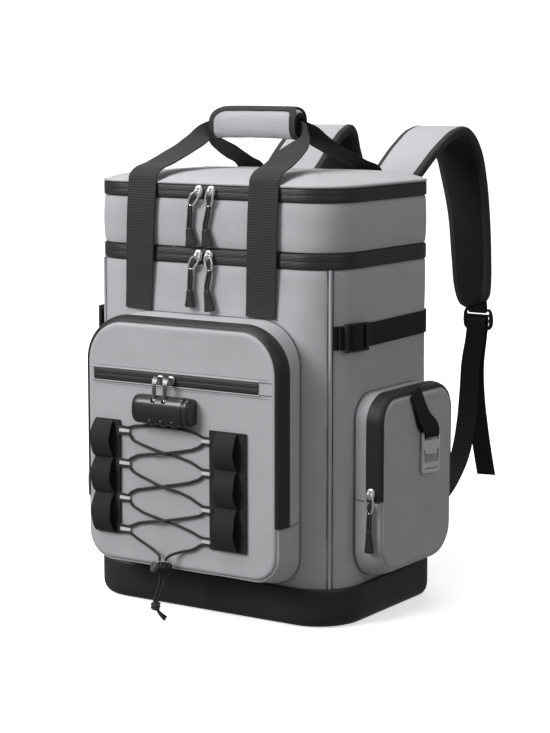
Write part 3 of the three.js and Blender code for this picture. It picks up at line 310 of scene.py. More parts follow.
GREY = (0.455, 0.455, 0.472)
CHARCOAL = (0.030, 0.030, 0.030)
MAT = {
    "fabric": woven("body_fabric", GREY),
    "lid": woven("lid_fabric", shade(GREY, 1.02)),
    "inner": woven("inner_fabric", (0.30, 0.30, 0.31), pitch=0.8),
    "zip": tape("zip_tape", (0.026, 0.026, 0.027)),
    "zip_up": tape("zip_tape_across", (0.020, 0.020, 0.021), axis="u"),
    "coil": braided("zip_coil", (0.035, 0.035, 0.037), 1.6),
    "web": ribbed("webbing", CHARCOAL),
    "web_dark": ribbed("webbing_dark", (0.016, 0.016, 0.0165), spec=0.15),
    "loops": ribbed("loop_webbing", (0.021, 0.021, 0.0215), rib=1.9, twill=1.2, spec=0.2),
    "binding": ribbed("binding", (0.034, 0.034, 0.035), rib=1.2, twill=0.9, depth=0.08),
    "mesh": knit("mesh_lining", (0.007, 0.007, 0.0075)),
    "base": moulded("moulded_base", (0.022, 0.022, 0.0225), rough=0.42, wear=0.25, spec=0.35),
    "buckle": moulded("buckle_plastic", (0.010, 0.010, 0.0105), rough=0.38, spec=0.4),
    "lock": moulded("lock_plastic", (0.014, 0.014, 0.0145), rough=0.33, grain=2600, depth=0.02, coat=0.35, spec=0.5),
    "button": moulded("cord_button", (0.075, 0.075, 0.08), rough=0.45),
    "dullchrome": plated("dull_metal", (0.55, 0.55, 0.56), rough=0.3),
    # dark metal for the face-zip tabs: painted reflection of the dark lock
    "tab_metal_painted_reflection": plated("tab_face_painted_reflection", (0.16, 0.16, 0.165), rough=0.35),
    "chrome": plated("zip_metal", (0.95, 0.95, 0.96), rough=0.3),
    "steel": plated("opener_steel", (0.9, 0.9, 0.92), rough=0.42, brushed=True),
    "rubber": moulded("pull_rubber", (0.026, 0.026, 0.027), rough=0.6, grain=2000, wear=0.6, spec=0.35),
    "cord": braided("elastic_cord", (0.020, 0.020, 0.0205)),
    "tab": ribbed("light_tab", (0.62, 0.64, 0.64), rib=1.0, twill=0.8, depth=0.05),
    # dark lines of painted shadow where panels meet
    "seam": woven("seam_shadow", (0.10, 0.10, 0.105), pitch=0.5, mottle_and_weave_shade=0.1),
    "thread": woven("thread", (0.40, 0.40, 0.415), pitch=0.3),
    "thread_dark": woven("thread_dark", (0.05, 0.05, 0.052), pitch=0.3),
    "mark": moulded("white_mark", (0.8, 0.8, 0.8), rough=0.5, grain=900, wear=0.1),
}


# --------------------------------------------------------------- mesh tools
def new_mesh(name, verts, faces, mats, face_mats=None, uvs=None, sharp=38, body="pack"):
    me = bpy.data.meshes.new(name)
    me.from_pydata([tuple(np.asarray(p) * MM) for p in verts], [], [tuple(f) for f in faces])
    for m in mats:
        me.materials.append(MAT[m])
    if face_mats is not None:
        me.polygons.foreach_set("material_index", np.asarray(face_mats, np.int32))
    if uvs is not None:
        layer = me.uv_layers.new(name="weave")
        layer.uv.foreach_set("vector", (np.asarray(uvs, np.float32) * MM).ravel())
    me.update()
    me.shade_smooth()
    me.set_sharp_from_angle(angle=math.radians(sharp))
    ob = bpy.data.objects.new(name, me)
    bpy.context.scene.collection.objects.link(ob)
    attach(ob, body)
    return ob


def loft_data(rings, loop=False, caps="fan", u=None, v=None, closed=True, mat_of=None):
    rings = np.asarray(rings, float)
    m, n, _ = rings.shape
    if u is None:
        seg = np.linalg.norm(np.roll(rings, -1, 1) - rings, axis=2).mean(0)
        u = np.concatenate([[0], np.cumsum(seg)])
    if v is None:
        step = np.linalg.norm(np.roll(rings, -1, 0) - rings, axis=2).mean(1)
        v = np.concatenate([[0], np.cumsum(step)])
    u, v = np.asarray(u, float), np.asarray(v, float)
    verts = [p for r in rings for p in r]
    faces, uvs, mats = [], [], []
    for i in range(m if loop else m - 1):
        k = (i + 1) % m
        for j in range(n if closed else n - 1):
            l = (j + 1) % n
            faces.append((i * n + j, i * n + l, k * n + l, k * n + j))
            uvs += [(u[j], v[i]), (u[j + 1], v[i]), (u[j + 1], v[i + 1]), (u[j], v[i + 1])]
            mats.append(mat_of(i, j) if mat_of else 0)
    if not loop and caps:
        for i, flip in ((0, True), (m - 1, False)):
            mat = mat_of(min(i, m - 2), 0) if mat_of else 0
            if caps == "pair":
                for j in range(n // 2 - 1):
                    q = [i * n + j, i * n + j + 1, i * n + n - 2 - j, i * n + n - 1 - j]
                    faces.append(tuple(q if not flip else q[::-1]))
                    uvs += [(0, 0)] * 4
                    mats.append(mat)
            else:
                c = len(verts)
                verts.append(rings[i].mean(0))
                for j in range(n):
                    l = (j + 1) % n
                    faces.append((c, i * n + l, i * n + j) if flip else (c, i * n + j, i * n + l))
                    uvs += [(0, 0), (u[j], v[i]), (u[j + 1], v[i])]
                    mats.append(mat)
    verts = np.array(verts)
    vol = 0.0
    for f in faces:
        a = verts[f[0]]
        for b, c in zip(f[1:-1], f[2:]):
            vol += float(np.dot(a, np.cross(verts[b], verts[c])))
    if vol < 0:
        out, at = [], 0
        turned = []
        for f in faces:
            out.append(tuple(reversed(f)))
            turned += uvs[at:at + len(f)][::-1]
            at += len(f)
        faces, uvs = out, turned
    return verts, faces, uvs, mats


def loft(name, rings, mats, body="pack", sharp=38, **kw):
    v, f, uv, fm = loft_data(rings, **kw)
    return new_mesh(name, v, f, mats, fm, uv, sharp, body)


def merge(parts):
    """Several (verts, faces, uvs, mats) as one."""
    verts, faces, uvs, mats = [], [], [], []
    for v, f, uv, m in parts:
        at = len(verts)
        verts += list(v)
        faces += [tuple(i + at for i in q) for q in f]
        uvs += list(uv)
        mats += list(m)
    return verts, faces, uvs, mats


def with_mat(data, k):
    return data[0], data[1], data[2], [k] * len(data[1])


def curve_through(rows, step):
    """Rows of numbers, x y z first, as a smooth line with a row every step."""
    p = np.asarray(rows, float)
    out = [p[0]]
    for i in range(len(p) - 1):
        a, b = p[max(i - 1, 0)], p[min(i + 2, len(p) - 1)]
        d0 = max(np.linalg.norm((p[i] - a)[:3]), 1e-6)
        d1 = max(np.linalg.norm((p[i + 1] - p[i])[:3]), 1e-6)
        d2 = max(np.linalg.norm((b - p[i + 1])[:3]), 1e-6)
        t1 = (p[i + 1] - p[i]) / d1 if i == 0 else ((p[i] - a) / d0 * d1 + (p[i + 1] - p[i]) / d1 * d0) / (d0 + d1)
        t2 = (p[i + 1] - p[i]) / d1 if i == len(p) - 2 else ((p[i + 1] - p[i]) / d1 * d2 + (b - p[i + 1]) / d2 * d1) / (d1 + d2)
        n = max(4, int(d1 / step * 2))
        for k in range(1, n + 1):
            t = k / n
            h = (2 * t**3 - 3 * t**2 + 1, t**3 - 2 * t**2 + t, -2 * t**3 + 3 * t**2, t**3 - t**2)
            out.append(h[0] * p[i] + h[1] * t1 * d1 + h[2] * p[i + 1] + h[3] * t2 * d1)
    out = np.array(out)
    s = np.concatenate([[0], np.cumsum(np.linalg.norm(np.diff(out[:, :3], axis=0), axis=1))])
    n = max(2, int(round(s[-1] / step)) + 1)
    at = np.linspace(0, s[-1], n)
    return np.stack([np.interp(at, s, out[:, k]) for k in range(out.shape[1])], 1)


def tangents(p, loop=False):
    if loop:
        t = np.roll(p, -1, 0) - np.roll(p, 1, 0)
    else:
        t = np.gradient(p, axis=0)
    return t / np.maximum(np.linalg.norm(t, axis=1, keepdims=True), 1e-9)


def unit(v):
    v = np.asarray(v, float)
    return v / np.maximum(np.linalg.norm(v, axis=-1, keepdims=True), 1e-9)


def ribbon_data(rows, thick, step=3.0, n=8, mat=0, crown=0.0, smooth=True):
    """Flat band through rows of x, y, z, width, ax, ay, az; a is across."""
    p = curve_through(rows, step) if smooth else np.asarray(rows, float)
    q, w, a = p[:, :3], p[:, 3], p[:, 4:7]
    t = tangents(q)
    u = unit(a - (a * t).sum(1, keepdims=True) * t)
    v = np.cross(t, u)
    half = thick / 2
    section = [(-1.0, 0.0)]
    xs = np.linspace(-1, 1, n + 1)
    xs = np.concatenate([[-0.97], xs[1:-1], [0.97]])
    section += [(x, 1.0 + crown * (1 - x * x)) for x in xs] + [(1.0, 0.0)]
    section += [(x, -1.0) for x in xs[::-1]]
    rings = np.stack([q + u * (w / 2 * x)[:, None] + v * (half * y) for x, y in section], 1)
    s = np.concatenate([[0], np.cumsum(np.linalg.norm(np.diff(q, axis=0), axis=1)), [0]])
    us = np.array([x for x, _ in section] + [section[0][0]]) * w.mean() / 2
    # The section closes at its first point, so its last column repeats it.
    d = loft_data(rings, caps="fan", u=us, v=s)
    return d[0], d[1], d[2], [mat] * len(d[1])


def rows7(rows, w, across):
    return [(*r[:3], (r[3] if len(r) > 3 and r[3] else w), *(r[4:7] if len(r) > 6 else across)) for r in rows]


def make(name, parts, mats, body="pack", sharp=38):
    v, f, uv, fm = merge(parts)
    return new_mesh(name, v, f, mats, fm, uv, sharp, body)


def tube_data(points, r, sides=12, step=None, mat=0, caps="fan"):
    p = curve_through(points, step) if step else np.asarray(points, float)
    q = p[:, :3]
    rad = p[:, 3] if p.shape[1] > 3 else np.full(len(q), r)
    t = tangents(q)
    u = np.array([0, 0, 1.0]) if abs(t[0][2]) < 0.9 else np.array([0, 1.0, 0])
    rings = []
    for k in range(len(q)):
        u = u - u.dot(t[k]) * t[k]
        u = u / np.linalg.norm(u)
        v = np.cross(t[k], u)
        rings.append([q[k] + rad[k] * (math.cos(a) * u + math.sin(a) * v)
                      for a in np.linspace(0, 2 * math.pi, sides, endpoint=False)])
    d = loft_data(rings, caps=caps)
    return d[0], d[1], d[2], [mat] * len(d[1])


def rounded_box_data(centre, half, r, basis=None, mat=0, seg=3):
    bm = bmesh.new()
    bmesh.ops.create_cube(bm, size=1.0)
    for v in bm.verts:
        v.co = Vector((v.co.x * 2 * half[0], v.co.y * 2 * half[1], v.co.z * 2 * half[2]))
    bmesh.ops.bevel(bm, geom=list(bm.edges), offset=r, segments=seg, profile=0.5, affect="EDGES")
    bm.verts.ensure_lookup_table()
    b = np.eye(3) if basis is None else np.array(basis, float)  # rows: x, y, z directions
    verts = [np.array(centre, float) + np.array(v.co) @ b for v in bm.verts]
    faces = [tuple(v.index for v in f.verts) for f in bm.faces]
    uvs = []
    for f in bm.faces:
        n = np.abs(np.array(f.normal))
        k = int(n.argmax())
        i, j = [a for a in (0, 1, 2) if a != k]
        uvs += [(v.co[i], v.co[j]) for v in f.verts]
    bm.free()
    if np.linalg.det(b) < 0:
        out, at, turned = [], 0, []
        for f in faces:
            out.append(tuple(reversed(f)))
            turned += uvs[at:at + len(f)][::-1]
            at += len(f)
        faces, uvs = out, turned
    return verts, faces, uvs, [mat] * len(faces)


STITCH = {}


def stitch(key, points, normal, pitch=3.6, long=2.5, r=0.3, lift=0.12, body="pack"):
    """Lockstitches along a line; normal is one direction or a row each."""
    p = curve_through(np.asarray(points, float)[:, :3], 1.0)
    s = np.concatenate([[0], np.cumsum(np.linalg.norm(np.diff(p, axis=0), axis=1))])
    normal = np.asarray(normal, float)
    if normal.ndim == 2:
        src = np.linspace(0, s[-1], len(normal))
        nn = unit(np.stack([np.interp(s, src, normal[:, k]) for k in range(3)], 1))
    else:
        nn = np.repeat(unit(normal)[None], len(p), 0)
    n = int(s[-1] / pitch)
    for k in range(n):
        a0 = (s[-1] - n * pitch) / 2 + k * pitch + (pitch - long) / 2
        at = np.array([a0, a0 + long * 0.25, a0 + long * 0.75, a0 + long])
        q = np.stack([np.interp(at, s, p[:, c]) for c in range(3)], 1)
        m = unit(np.array([np.interp(a0 + long / 2, s, nn[:, c]) for c in range(3)]))
        q = q + m * lift
        q[0] -= m * r * 0.8
        q[-1] -= m * r * 0.8
        t = unit(q[-1] - q[0])
        u = np.cross(t, m)
        rings = [[c + rr * (math.cos(x) * u + math.sin(x) * m) for x in np.linspace(0, 2 * math.pi, 6, endpoint=False)]
                 for c, rr in zip(q, (r * 0.5, r, r, r * 0.5))]
        STITCH.setdefault((key, body), []).append(loft_data(rings, caps="fan"))


SEAM_SHADOWS = {}


def seam(points, r=0.45, key="seam", body="pack", step=4.0):
    """A thin line of painted shadow where two panels meet, half sunk in the cloth."""
    SEAM_SHADOWS.setdefault((key, body), []).append(tube_data(points, r, 6, step=step))


def wobble(x, y, z, scale, seed=0.0):
    return noise.noise(Vector((x / scale + seed, y / scale - seed, z / scale + 0.5 * seed)))


# ----------------------------------------------------------------- body plan
def plan(off, fine=True):
    """Outline of the body pushed out by off, from the front right corner on
    round; rows of x, y and the outward direction."""
    nf, nb, ns, nw = (22, 12, 18, 34) if fine else (8, 5, 4, 6)
    f, b = max(R_FRONT + off, 3), max(R_BACK + off, 3)
    x, fr, bk = SIDE_X + off, FRONT_Y - off, BACK_Y + off
    out = []

    def arc(cx, cy, r, a0, a1, n):
        for i in range(n + 1):
            a = math.radians(a0 + (a1 - a0) * i / n)
            out.append((cx + r * math.cos(a), cy + r * math.sin(a), math.cos(a), math.sin(a)))

    def line(p, q, n, nx, ny):
        for i in range(1, n):
            t = i / n
            out.append((p[0] + (q[0] - p[0]) * t, p[1] + (q[1] - p[1]) * t, nx, ny))

    arc(x - f, fr + f, f, -90, 0, nf)
    line((x, fr + f), (x, bk - b), ns, 1, 0)
    arc(x - b, bk - b, b, 0, 90, nb)
    line((x - b, bk), (-x + b, bk), nw, 0, 1)
    arc(-x + b, bk - b, b, 90, 180, nb)
    line((-x, bk - b), (-x, fr + f), ns, -1, 0)
    arc(-x + f, fr + f, f, 180, 270, nf)
    line((-x + f, fr), (x - f, fr), nw, 0, -1)
    return np.array(out)


def ring_at(off, z, extra=None):
    """extra(x, y, z) pushes the cloth out further, along the outward way."""
    p = plan(off)
    add = np.array([extra(x, y, z) for x, y, _, _ in p]) if extra else np.zeros(len(p))
    return np.stack([p[:, 0] + p[:, 2] * add, p[:, 1] + p[:, 3] * add, np.full(len(p), z)], 1)


PIPE_X, PIPE_Y = SIDE_X - R_FRONT, FRONT_Y + R_FRONT


def pipe_groove(x, y):
    a = math.degrees(math.atan2(y - PIPE_Y, abs(x) - PIPE_X)) if abs(x) > PIPE_X and y < PIPE_Y else 99
    d = abs(a + 45) * math.pi / 180 * R_FRONT
    return -1.5 * math.exp(-((max(d - 1.7, 0) / 1.0) ** 2)) if d < 6 else 0.0


def tub(name, z0, z1, puff, groove, seed, replaces):
    rows = [(-3.0, z0), (-0.8, z0 + 1.2), (-0.1, z0 + 3.2)]
    n = max(6, int((z1 - z0) / 9))
    for i in range(1, n):
        t = i / n
        rows.append((puff * math.sin(math.pi * t) ** 0.6, z0 + 3.2 + (z1 - z0 - 6.0) * t))
    rows += [(-0.15, z1 - 2.2), (-0.7, z1 - 0.9), (-1.7, z1 - 0.1), (-8.0, z1)]

    def extra(x, y, z):
        e = 0.55 * wobble(x, y, z, 46, seed) + 0.22 * wobble(x, y, z, 15, seed + 3)
        fade = min(1.0, max(0.0, (z - z0) / 14), max(0.0, (z1 - z) / 10))
        e = min(e * fade, 0.35)
        if groove:
            e += pipe_groove(x, y)
        return e

    rings = [ring_at(o, z, extra) for o, z in rows]
    rings.append(ring_at(-8.0, z0 + 8))
    ob = loft(name, rings, ["fabric"])
    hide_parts(replaces)
    return ob


tub("main_body", 5.0, MAIN_LOW - GAP, 0.0, True, 1.7, "main_shell")
tub("upper_body", MAIN_HIGH + GAP, LID_LOW - GAP, 0.9, False, 5.2, "upper_shell")

# Moulded base: a shallow tray with a rounded foot and a soft top lip.
BOOT = [(-6.0, 0.0), (-2.5, 0.35), (0.2, 1.3), (2.4, 3.0), (4.0, 5.2), (5.2, 8.2), (5.85, 11.6), (6.0, 15), (6.0, 24),
        (6.0, 33), (6.0, 38.6), (5.7, 40.2), (4.9, 41.1), (3.6, 41.4), (1.6, 41.3), (0.4, 40.8), (0.35, 30), (0.35, 4.0)]
boot = loft("base_tray", [ring_at(o, z) for o, z in BOOT], ["base"], sharp=60)
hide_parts("base_boot")


# Zip bands: two tape halves with a closing line, lips rolled at both edges.
def zip_band(name, z0, z1, replaces):
    h = z1 - z0
    prof = [(-3.0, 0), (-0.2, 0.0), (0.45, 0.25), (0.7, 0.9), (0.8, 0.3 * h), (0.8, 0.46 * h), (0.72, 0.485 * h), (0.55, 0.497 * h),
            (0.55, 0.503 * h), (0.72, 0.515 * h), (0.8, 0.54 * h), (0.8, 0.7 * h), (0.7, h - 0.9), (0.45, h - 0.25), (-0.2, h), (-3.0, h)]
    rings = [ring_at(o, z0 + z) for o, z in prof]
    ob = loft(name, rings, ["zip"], loop=True, sharp=50)
    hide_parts(replaces)


zip_band("main_zip_tape", MAIN_LOW, MAIN_HIGH, "main_zip_band")
zip_band("lid_zip_tape", LID_LOW, LID_HIGH, "lid_zip_band")

# ---------------------------------------------------------------------- lid
WEB_X = {"left": -80.5, "right": 73.5}


def lid_dent(x, y):
    e = 0.0
    for wx in WEB_X.values():
        across = math.exp(-(((x - wx) / 19) ** 4))
        e -= 2.6 * across * min(1, max(0, (abs(y) - 40) / 45))
        side = math.exp(-(((abs(x - wx) - 27) / 9) ** 2))
        e += 0.8 * side * min(1, max(0, (abs(y) - 50) / 40))
    return e


LID = [(-50, 3.6), (-14, 2.6), (-9, 0.3), (-1.5, 0.3), (0.5, 0.5), (1.25, 1.2), (1.3, 2.2), (0.7, 3.1), (-0.8, 3.9), (-3.0, 4.7),
       (-6, 5.7), (-10, 6.8), (-16, 8.3), (-24, 9.9), (-34, 11.4), (-46, 12.6), (-60, 13.4), (-78, 13.9), (-94, 14.1), (-98.5, 14.1)]
lid_rings = []
for k, (off, up) in enumerate(LID):
    r = ring_at(off, LID_HIGH + up)
    if k >= 7:
        for p in r:
            share = min(1, (k - 6) / 3)
            p[2] += share * (lid_dent(p[0], p[1]) - 1.6 * max(0.0, -p[0] / 157) - 0.4 + 0.5 * wobble(p[0], p[1], 0, 38, 2.2) + 0.2 * wobble(p[0], p[1], 0, 13, 4))
    lid_rings.append(r)
lid = loft("lid_cover", lid_rings, ["lid"], sharp=60)
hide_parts("lid_panel")

# Piping down the front corners, between two seam lines of painted shadow.
for side, word in ((1, "right"), (-1, "left")):
    a = math.radians(-45)
    r = R_FRONT + 0.9
    c = (side * (PIPE_X + r * math.cos(a)), PIPE_Y + r * math.sin(a))
    ob = make(f"corner_piping_{word}", [tube_data([(c[0], c[1], z) for z in np.linspace(BOOT_TOP - 1, MAIN_LOW - 0.5, 40)], 1.75, 14)], ["fabric"])
    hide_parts(f"piping_{word}")
    for da, rr in ((-3.7, 0.55), (3.7, 0.75)):
        b = math.radians(-45 + da)
        q = (side * (PIPE_X + (R_FRONT - 0.55) * math.cos(b)), PIPE_Y + (R_FRONT - 0.55) * math.sin(b))
        seam([(q[0], q[1], BOOT_TOP), (q[0], q[1], 200), (q[0], q[1], MAIN_LOW - 1)], rr, step=12)

# ------------------------------------------------------------------ handle
GRIP = {"x0": -59.0, "x1": 51.0, "z": 514.3, "tall": 33.0, "deep": 25.0}
WEB_T = 1.7
WEB_OUT = 0.9 + GAP + 0.05 + WEB_T / 2
LEGS = [(-87.0, -80.5, -1), (69.0, 73.5, 1)]


def leg_rows(foot, top, side, back, z0):
    s = -1 if back else 1
    end = (GRIP["x0"] if side < 0 else GRIP["x1"]) + side * 8
    turn = lambda t: (-side * math.cos(t), 0.0, -math.sin(t))
    span = [(0, -103.1, 460.8, 0, 1), (0.03, -98.8, 465, 0, 1), (0.28, -74, 474, 0.0, 0.98), (0.52, -50, 483.0, 0.02, 0.95),
            (0.76, -28, 492.4, 0.1, 0.84), (0.9, -15.5, 499.4, 0.4, 0.66), (1.0, -7.0, 506, 1.15, 0.47)]
    rows = [(top if back else foot, s * (FRONT_Y - WEB_OUT), z0, 34.5 if side < 0 and not back else 37, *turn(0)),
            (top, s * (FRONT_Y - WEB_OUT), LID_HIGH + 3, 37, *turn(0))]
    for t, y, z, tw, w in span:
        rows.append((top + (end - top) * (0.4 * t * t + 0.6 * t), s * y, z, 37 * w, *turn(tw)))
    return rows


for back, word, z0 in ((False, "front", 319.5), (True, "back", 434.0)):
    s = 1 if back else -1
    mid = [(x, s * 2.0, 509.5, 16, 0, 0, -1) for x in (GRIP["x0"] - 2, GRIP["x0"] + 6, GRIP["x1"] - 6, GRIP["x1"] + 2)]
    rows = leg_rows(*LEGS[0], back, z0) + mid + leg_rows(*LEGS[1], back, z0)[::-1]
    ob = make(f"handle_webbing_{word}", [ribbon_data(rows, WEB_T, step=3.0, n=10)], ["web" if not back else "web_dark"], sharp=50)
    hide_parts(f"handle_web_{word}")
    yn = s * (abs(FRONT_Y) + WEB_OUT + WEB_T / 2)
    for foot, top, side in LEGS:
        if not back:
            for e in (-16.6, 16.6):
                slope = (top - foot) / (458 - z0)
                stitch("thread_dark", [(foot + e + slope * (z - z0), yn, z) for z in (z0 + 3, 370, 420, 456)], (0, s, 0))
            for dz in (3.0, 30.0):
                stitch("thread_dark", [(foot + e, yn, z0 + dz) for e in (-16, 0, 16)], (0, s, 0))


def grip_point(x, a, lift=0.0):
    """On the grip at x and angle a up from the front, pushed out by lift."""
    l, r = x - GRIP["x0"], GRIP["x1"] - x
    deep, tall = GRIP["deep"] / 2, GRIP["tall"] / 2
    end = min(1.0, 0.8 + 0.2 * math.sin(min(1, l / 8) * math.pi / 2), 0.8 + 0.2 * math.sin(min(1, max(r, 0) / 8) * math.pi / 2))
    sy, sz = math.cos(a), math.sin(a)
    top = 1.0
    if sz > 0:
        for d, rad, low in ((l, 19.0, 0.42), (r, 8.0, 0.62)):
            if d < rad:
                top = min(top, low + (1 - low) * math.sqrt(max(0.0, 1 - ((rad - max(d, 0)) / rad) ** 2)))
    p = 0.82
    y = -math.copysign(abs(sy) ** p, sy) * deep * end
    z = math.copysign(abs(sz) ** p, sz) * tall * (end if sz < 0 else top)
    arch = -1.6 * ((2 * (x - (GRIP["x0"] + GRIP["x1"]) / 2) / (GRIP["x1"] - GRIP["x0"])) ** 2) * (1 if sz < 0 else 0) * abs(sz)
    n = unit((0, y / deep**2, z / tall**2))
    return np.array([x, y + n[1] * lift, GRIP["z"] + z + arch + 1.0 * (sz < 0) * abs(sz) + n[2] * lift])


xs = np.concatenate([GRIP["x0"] + np.array([0, 0.8, 2, 3.6, 5.6, 8, 11, 14.5, 18, 22]), np.linspace(-30, 22, 14),
                     GRIP["x1"] - np.array([22, 18, 14.5, 11, 8, 5.6, 3.6, 2, 0.8, 0])])
angles = np.linspace(0, 2 * math.pi, 56, endpoint=False)
grip_rings = []
for x in xs:
    ring = []
    for a in angles:
        soft = 0.45 * wobble(x, 30 * math.cos(a), 30 * math.sin(a), 17, 8.0) - 0.35
        ring.append(grip_point(x, a, soft))
    grip_rings.append(ring)
grip_mat = lambda i, j: 0
mouth = [[(p - np.mean(r, 0)) * k + np.mean(r, 0) + np.array([dx, 0, 0]) for p in r] for r, k, dx in
         ((grip_rings[0], 0.9, -0.5), (grip_rings[0], 0.8, -0.3), (grip_rings[0], 0.74, 0.8), (grip_rings[0], 0.6, 5))][::1]
mouth2 = [[(p - np.mean(r, 0)) * k + np.mean(r, 0) - np.array([dx, 0, 0]) for p in r] for r, k, dx in
          ((grip_rings[-1], 0.9, -0.5), (grip_rings[-1], 0.8, -0.3), (grip_rings[-1], 0.74, 0.8), (grip_rings[-1], 0.6, 5))]
all_rings = mouth[::-1] + grip_rings + mouth2
last = len(all_rings) - 1
grip = loft("handle_wrap", all_rings, ["fabric", "web_dark"], sharp=50,
            mat_of=lambda i, j: 1 if i < 5 or i >= last - 5 else 0)
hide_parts("handle_grip")


def grip_binding(path, thick=1.1):
    q = curve_through([(x, math.degrees(a), 0, w) for x, a, w in path], 2.0)
    w = q[:, 3]
    centre = [grip_point(x, math.radians(a), thick * 0.5) for x, a, _, _ in q]
    up = [grip_point(x, math.radians(a), thick * 0.5 + 1.0) for x, a, _, _ in q]
    centre, up = np.array(centre), np.array(up)
    t = tangents(centre)
    n = unit(up - centre)
    across = np.cross(t, n)
    rows = [(*c, k, *a) for c, k, a in zip(centre, w, across)]
    return ribbon_data(rows, thick, step=2.0, n=6, crown=0.25)


R = math.radians
front = [(-56.4, R(-88), 5.6), (-56.4, R(-45), 5.8), (-56.2, R(0), 6.0), (-55.2, R(25), 6.2), (-52, R(46), 6.6), (-46, R(62), 7.6), (-36, R(72), 9.0),
         (-20, R(75), 10), (20, R(75), 10), (36, R(74), 9.6), (43.6, R(66), 8.6), (46.8, R(48), 8.0), (47.6, R(20), 7.6), (47.8, R(-20), 7.4), (47.8, R(-88), 7.4)]
back_way = [(x, R(180) - a, w) for x, a, w in front]
bind = make("handle_binding", [grip_binding(front), grip_binding(back_way)], ["binding"], sharp=50)

# --------------------------------------------------------- shoulder straps
PAD = [(71, 102.7, 391, 58, 10, 0), (71, 102.9, 404, 60, 10, 0), (71, 107.5, 418.5, 60, 10, 0), (71, 121, 431, 60, 10, 0), (71, 143, 443.5, 61, 10, 0), (70.5, 168, 458, 62, 10, 0),
       (70, 215, 487, 65, 10, 0), (71.5, 250, 503.5, 67, 10, 0), (73, 270, 506.5, 67, 10, 0), (75.3, 290, 498, 64, 10, 0), (77.6, 306, 480, 61, 10, 0),
       (81, 318, 443, 58, 10, 0), (83, 326, 405, 54, 10, 0), (85, 331, 348, 51, 10, 0), (88.5, 329.6, 314, 46, 11.5, 0), (91, 328.4, 303, 41, 12.4, 0),
       (93, 327.6, 296, 33, 12, 0), (94, 327.2, 293.5, 26, 10.5, 0)]
PAD_LEFT = [(71, 102.7, 391, 58, 10, 0), (71, 102.9, 404, 60, 10, 0), (71, 107.5, 418.5, 61, 10, 3), (71, 121, 431, 62, 10, 8), (70, 143, 443.5, 63, 10, 14), (69.5, 168, 459, 66, 10, 22),
            (75, 213, 487, 66, 10, 25), (78.5, 246, 503, 66, 10, 24), (80, 264, 506, 66, 10, 20), (82.5, 282, 498, 64, 10, 14), (83.8, 296, 480, 61, 10, 8),
            (82, 315, 443, 58, 10, 2), (83, 326, 405, 54, 10, 0)] + PAD[13:]
BIND_W = 7.0


def pad(side, word):
    p = curve_through(PAD if side > 0 else PAD_LEFT, 5.0)
    q = p[:, :3].copy()
    q[:, 0] *= side
    t = tangents(q)
    a = np.radians(p[:, 5])  # the left strap turns a little towards the front
    u = np.stack([side * np.cos(a), side * np.sin(a), 0 * a], 1)
    u = unit(u - (u * t).sum(1, keepdims=True) * t)
    v = np.cross(t, u) * side  # towards the wearer's side
    n_out = -v if v[8][2] > 0 else v
    out = unit(n_out) * (-1 if (n_out[8][2] < 0) else 1)
    rings, mats = [], None
    for k in range(len(q)):
        w, th = p[k, 3] / 2, p[k, 4]
        k0 = k * 5.0
        end = min(1.0, (len(q) - 1 - k) * 5.0 / 14)
        puff = 0.5 + 0.25 * wobble(k0, 3, side * 7, 22, 3)
        sec = []
        # outer face, from one edge to the other, then the inner face back
        for s in (-1.0, -0.985, -0.95, -0.88, -0.8):
            sec.append((s, None))
        sec = []
        e = BIND_W / w
        rim = [(-1.0, -th * 0.5), (-1.0, -3.0), (-1 + 0.5 / w, -1.5), (-1 + 1.5 / w, -0.45), (-1 + 3.0 / w, 0.0), (-(1 - e), 0.05)]
        face = [(-(1 - e) + (2 * (1 - e)) * i / 10, puff * math.sin(math.pi * i / 10) ** 0.5 * 0.9) for i in range(11)]
        rim2 = [(-x, y) for x, y in rim[::-1]]
        inner = [(-(x), -th - y * 1.3) for x, y in face]
        lower = [(x, -th - y) for x, y in rim]
        ring = rim[:-1] + face + rim2[1:] + [(-x, -th - y) for x, y in rim[1:-1]] + inner + [(x, -th - y) for x, y in rim[1:-1][::-1]]
        rings.append([q[k] + u[k] * (x * w) + out[k] * y for x, y in ring])
    nr, nf = len(rim) - 1, len(face)
    n = len(rings[0])

    def mat_of(i, j):
        if nr <= j < nr + nf - 1:
            return 0
        start = nr + nf + (len(rim2) - 1) + len(rim[1:-1])
        if start <= j < start + nf - 1:
            return 2
        return 1

    ob = loft(f"shoulder_strap_{word}", rings, ["fabric", "binding", "mesh"], mat_of=mat_of, sharp=50)
    return ob, q, u, out, p


def put(rows, side):
    return [(side * r[0], *r[1:]) for r in rows]


LOCK_X, LOCK_Y, LOCK_Z = 95.5, 324.0, 277.5
WEB = [(128, 103.5, 46), (127.4, 104.6, 55), (124, 128, 65), (117, 180, 80), (108, 235, 98), (100, 278, 125), (94.5, 300, 157),
       (90.5, 313, 190), (89.5, 319, 225), (94, 320.5, 256), (95.5, 320.4, 273), (95.5, 320.9, 277.5), (95.5, 324, 278.5),
       (95.5, 327.1, 277.5), (95.5, 327.6, 273), (94, 327.7, 256), (89.5, 330, 222), (88.5, 335, 182), (89.5, 341, 150),
       (91, 350, 112), (92.5, 358, 82)]
LOOP = [(322.4, 299), (320.8, 290.5), (320.7, 287.5), (321.1, 285.6), (324, 284.9), (326.9, 285.6), (327.3, 287.5), (327.2, 290.5), (325.6, 299)]

